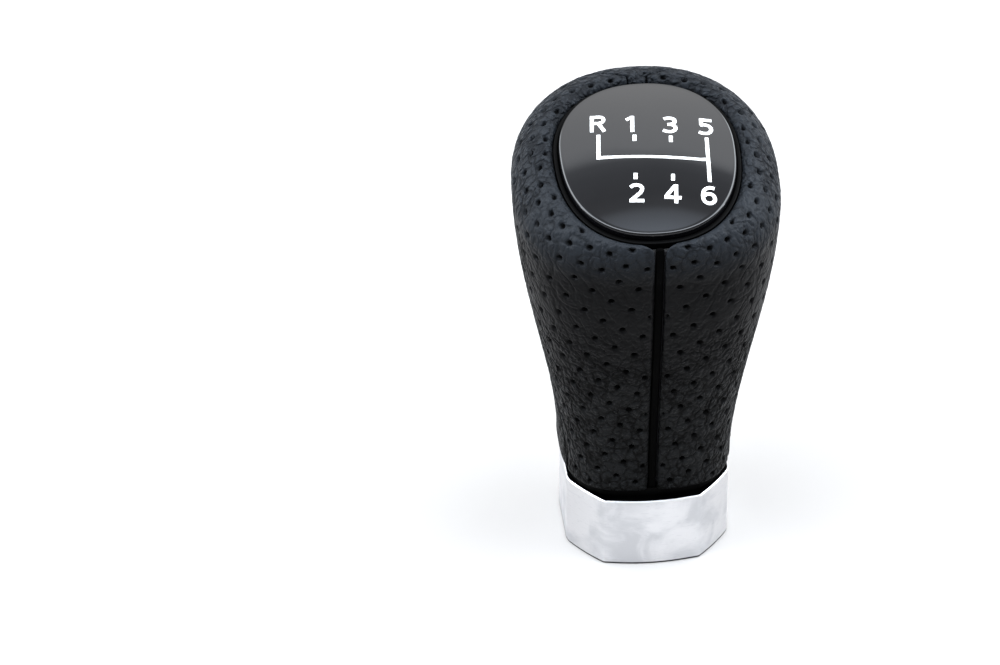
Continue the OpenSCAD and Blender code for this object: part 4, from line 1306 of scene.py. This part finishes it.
class KNOB_OT_hidden(bpy.types.Operator):
    """Finishes the parts that show only from below or inside"""

    bl_idname = "knob.inner_parts"
    bl_label = "Inner parts"

    def execute(self, context):
        colours = context.scene.knob_finish
        # Name, colour, roughness at least and at most, size and depth of the grain, and specular level
        plastics = {
            "base_ring": ("fine-grained black ABS", colours.base_ring, 0.5, 0.65, 0.35, 0.02, 0.06),
            "socket_insert": ("glass-filled black nylon", colours.plastic, 0.42, 0.6, 0.5, 0.03),
            "badge_carrier": ("black moulded ABS", colours.carrier, 0.4, 0.55, 0.6, 0.02),
            "foam_body": ("moulded polyurethane foam", colours.foam, 0.75, 0.92, 0.7, 0.12, 0.2),
            "end_buffer": ("soft black rubber", colours.rubber, 0.7, 0.85, 0.4, 0.03),
            "badge_pad": ("closed-cell foam tape", colours.tape, 0.8, 0.95, 0.5, 0.08),
        }
        finishes = {name: moulded_plastic(*values) for name, values in plastics.items()}
        finishes["collar_screws"] = plated_steel("zinc-plated screw steel", colours.screws, 0.28)
        finishes["lock_spring"] = plated_steel("drawn spring steel", colours.spring, 0.22)
        for name, material in finishes.items():
            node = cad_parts[name]
            if not node.material_slots:
                node.data.materials.append(material)
            for slot in node.material_slots:
                slot.material = material
        return {"FINISHED"}


# Studio

# The room's light by the angle from the horizon behind the knob, up over it and down to the horizon in front:
# degrees, radiance and how blue it is
ROOM = (
    (0, 0.9, 0.1), (25, 0.95, 0.1), (40, 2.9, 0.05), (65, 2.9, 0.3), (66.5, 2.4, 0.4), (68, 1.1, 0.5),
    (71, 0.85, 0.5), (78, 0.7, 0.4), (82, 0.85, 0.4), (84, 1.8, 0.8), (88, 2.8, 1.0), (94, 3.8, 1.0),
    (99, 10.0, 0.6), (114, 10.0, 0.6), (122, 0.4, 0.3), (180, 0.3, 0.2),
)
NEUTRAL = np.array([1.0, 1.0, 1.0])
SKY = np.array([0.78, 0.87, 1.0])
BOX_LIGHT = np.array([0.88, 0.94, 1.0])
# Parts of the direction to a side softbox between which its edges fade in
BOX_BESIDE = (0.5, 0.62)
BOX_ABOVE = (0.2, 0.35)
BOX_BEHIND = (-0.35, -0.1)


class KNOB_OT_studio(bpy.types.Operator):
    """Sets up the floor, the light and the camera"""

    bl_idname = "knob.studio"
    bl_label = "Studio"

    def execute(self, context):
        scene = context.scene
        self.floor(scene.knob_finish)
        self.light(scene)
        self.camera(scene)
        return {"FINISHED"}

    def floor(self, colours):
        """Matt white paper: nearly even, with faint clouds of its fibres."""
        def looks(add, place):
            fibre = add("ShaderNodeTexNoise", {"Vector": place, "Scale": 1 / (40 * MM)})
            dark, light = linear(colours.paper_dark), linear(colours.paper)
            tone = add("ShaderNodeMix", {0: fibre, 6: dark, 7: light}, **COLOURS)
            return {"Base_Color": tone}
        material = make_material("white paper sweep", looks, Roughness=0.9, Specular_IOR_Level=0.1)
        reach = 3.0
        corners = [(-reach, -reach, 0), (reach, -reach, 0), (reach, reach, 0), (-reach, reach, 0)]
        new_piece("studio_floor", corners, [(0, 1, 2, 3)], material)

    def light(self, scene):
        studio = scene.knob_studio
        world = bpy.data.worlds.new("studio")
        scene.world = world
        world.use_nodes = True
        world.node_tree.nodes.clear()
        add = partial(add_node, world.node_tree)
        place = add("ShaderNodeTexCoord", out="Generated")
        parts = add("ShaderNodeSeparateXYZ", [place]).node.outputs
        angle = add("ShaderNodeMath", [parts["Z"], parts["Y"]], operation="ARCTAN2")
        around = add("ShaderNodeMath", [angle, math.pi], operation="DIVIDE")
        room = add("ShaderNodeValToRGB", [around])
        elements = room.node.color_ramp.elements
        while len(elements) < len(ROOM):
            elements.new(1.0)
        for element, (turn, radiance, blue) in zip(elements, ROOM):
            element.position = turn / 180
            element.color = (*(blend(NEUTRAL, SKY, blue) * radiance / studio.peak), 1.0)
        # A raised softbox to the left and one to the right, which the badge doesn't mirror
        beside = add("ShaderNodeMath", [parts["X"]], operation="ABSOLUTE")
        box = add("ShaderNodeMapRange", [beside, *BOX_BESIDE, 0.0, 1.0])
        for part, low, high in (("Z", *BOX_ABOVE), ("Y", *BOX_BEHIND)):
            edge = add("ShaderNodeMapRange", [parts[part], low, high, 0.0, 1.0])
            box = add("ShaderNodeMath", [box, edge], operation="MULTIPLY")
        level = studio.side_light / studio.peak
        light = add("ShaderNodeMix", {0: box, 6: room, 7: (*(level * BOX_LIGHT), 1.0)}, **COLOURS)
        surface = add("ShaderNodeBackground", {"Color": light, "Strength": studio.peak})
        add("ShaderNodeOutputWorld", {"Surface": surface})
        scene.view_settings.view_transform = "Standard"
        scene.view_settings.look = "None"

    def camera(self, scene):
        """Places the camera so that the middle of the base falls on its pixel at the given distance."""
        studio = scene.knob_studio
        across, down, sensor = 1000, 665, 36
        focal = studio.scale * studio.distance / MM
        aim = Vector((0, math.cos(studio.elevation), -math.sin(studio.elevation)))
        right = Vector((1, 0, 0))
        up = right.cross(aim)
        ray = aim + (studio.base_x - across / 2) / focal * right - (studio.base_y - down / 2) / focal * up
        ray *= studio.distance / ray.length
        spin = Matrix.Rotation(-studio.turn, 3, "Z") @ Matrix.Rotation(studio.roll, 3, ray.normalized())
        data = bpy.data.cameras.new("studio_camera")
        data.sensor_fit = "HORIZONTAL"
        data.sensor_width = sensor
        data.lens = focal / across * sensor
        data.clip_start = 0.01
        camera = bpy.data.objects.new("studio_camera", data)
        scene.collection.objects.link(camera)
        turn = Matrix((spin @ right, spin @ up, spin @ -aim)).transposed().to_4x4()
        camera.matrix_world = Matrix.Translation(spin @ -ray) @ turn
        scene.camera = camera


# Add-on frame

class KNOB_PT_panel(bpy.types.Panel):
    """Lists the knob's pieces and settings"""

    bl_idname = "KNOB_PT_panel"
    bl_label = "Shift Knob"
    bl_space_type = "VIEW_3D"
    bl_region_type = "UI"
    bl_category = "Shift Knob"

    def draw(self, context):
        for operator in OPERATORS:
            self.layout.operator(operator.bl_idname)
        for key in GROUPS:
            group = getattr(context.scene, key)
            box = self.layout.box()
            for name in group.__annotations__:
                box.prop(group, name)


GROUPS = {
    "knob_shape": KnobShape,
    "knob_collar": KnobCollar,
    "knob_leather": KnobLeather,
    "knob_finish": KnobFinish,
    "knob_studio": KnobStudio,
}
OPERATORS = (
    KNOB_OT_leather, KNOB_OT_piping, KNOB_OT_badge, KNOB_OT_print, KNOB_OT_collar, KNOB_OT_hidden,
    KNOB_OT_studio,
)


def register():
    for item in (*GROUPS.values(), *OPERATORS, KNOB_PT_panel):
        bpy.utils.register_class(item)
    for key, group in GROUPS.items():
        setattr(bpy.types.Scene, key, bpy.props.PointerProperty(type=group))


def unregister():
    for key in GROUPS:
        delattr(bpy.types.Scene, key)
    for item in (KNOB_PT_panel, *OPERATORS, *GROUPS.values()):
        bpy.utils.unregister_class(item)


def main():
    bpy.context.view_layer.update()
    register()
    bpy.ops.knob.leather()
    bpy.ops.knob.piping()
    bpy.ops.knob.badge()
    bpy.ops.knob.shift_print()
    bpy.ops.knob.collar()
    bpy.ops.knob.inner_parts()
    bpy.ops.knob.studio()
    bpy.context.view_layer.update()


if __name__ == "__main__":
    main()
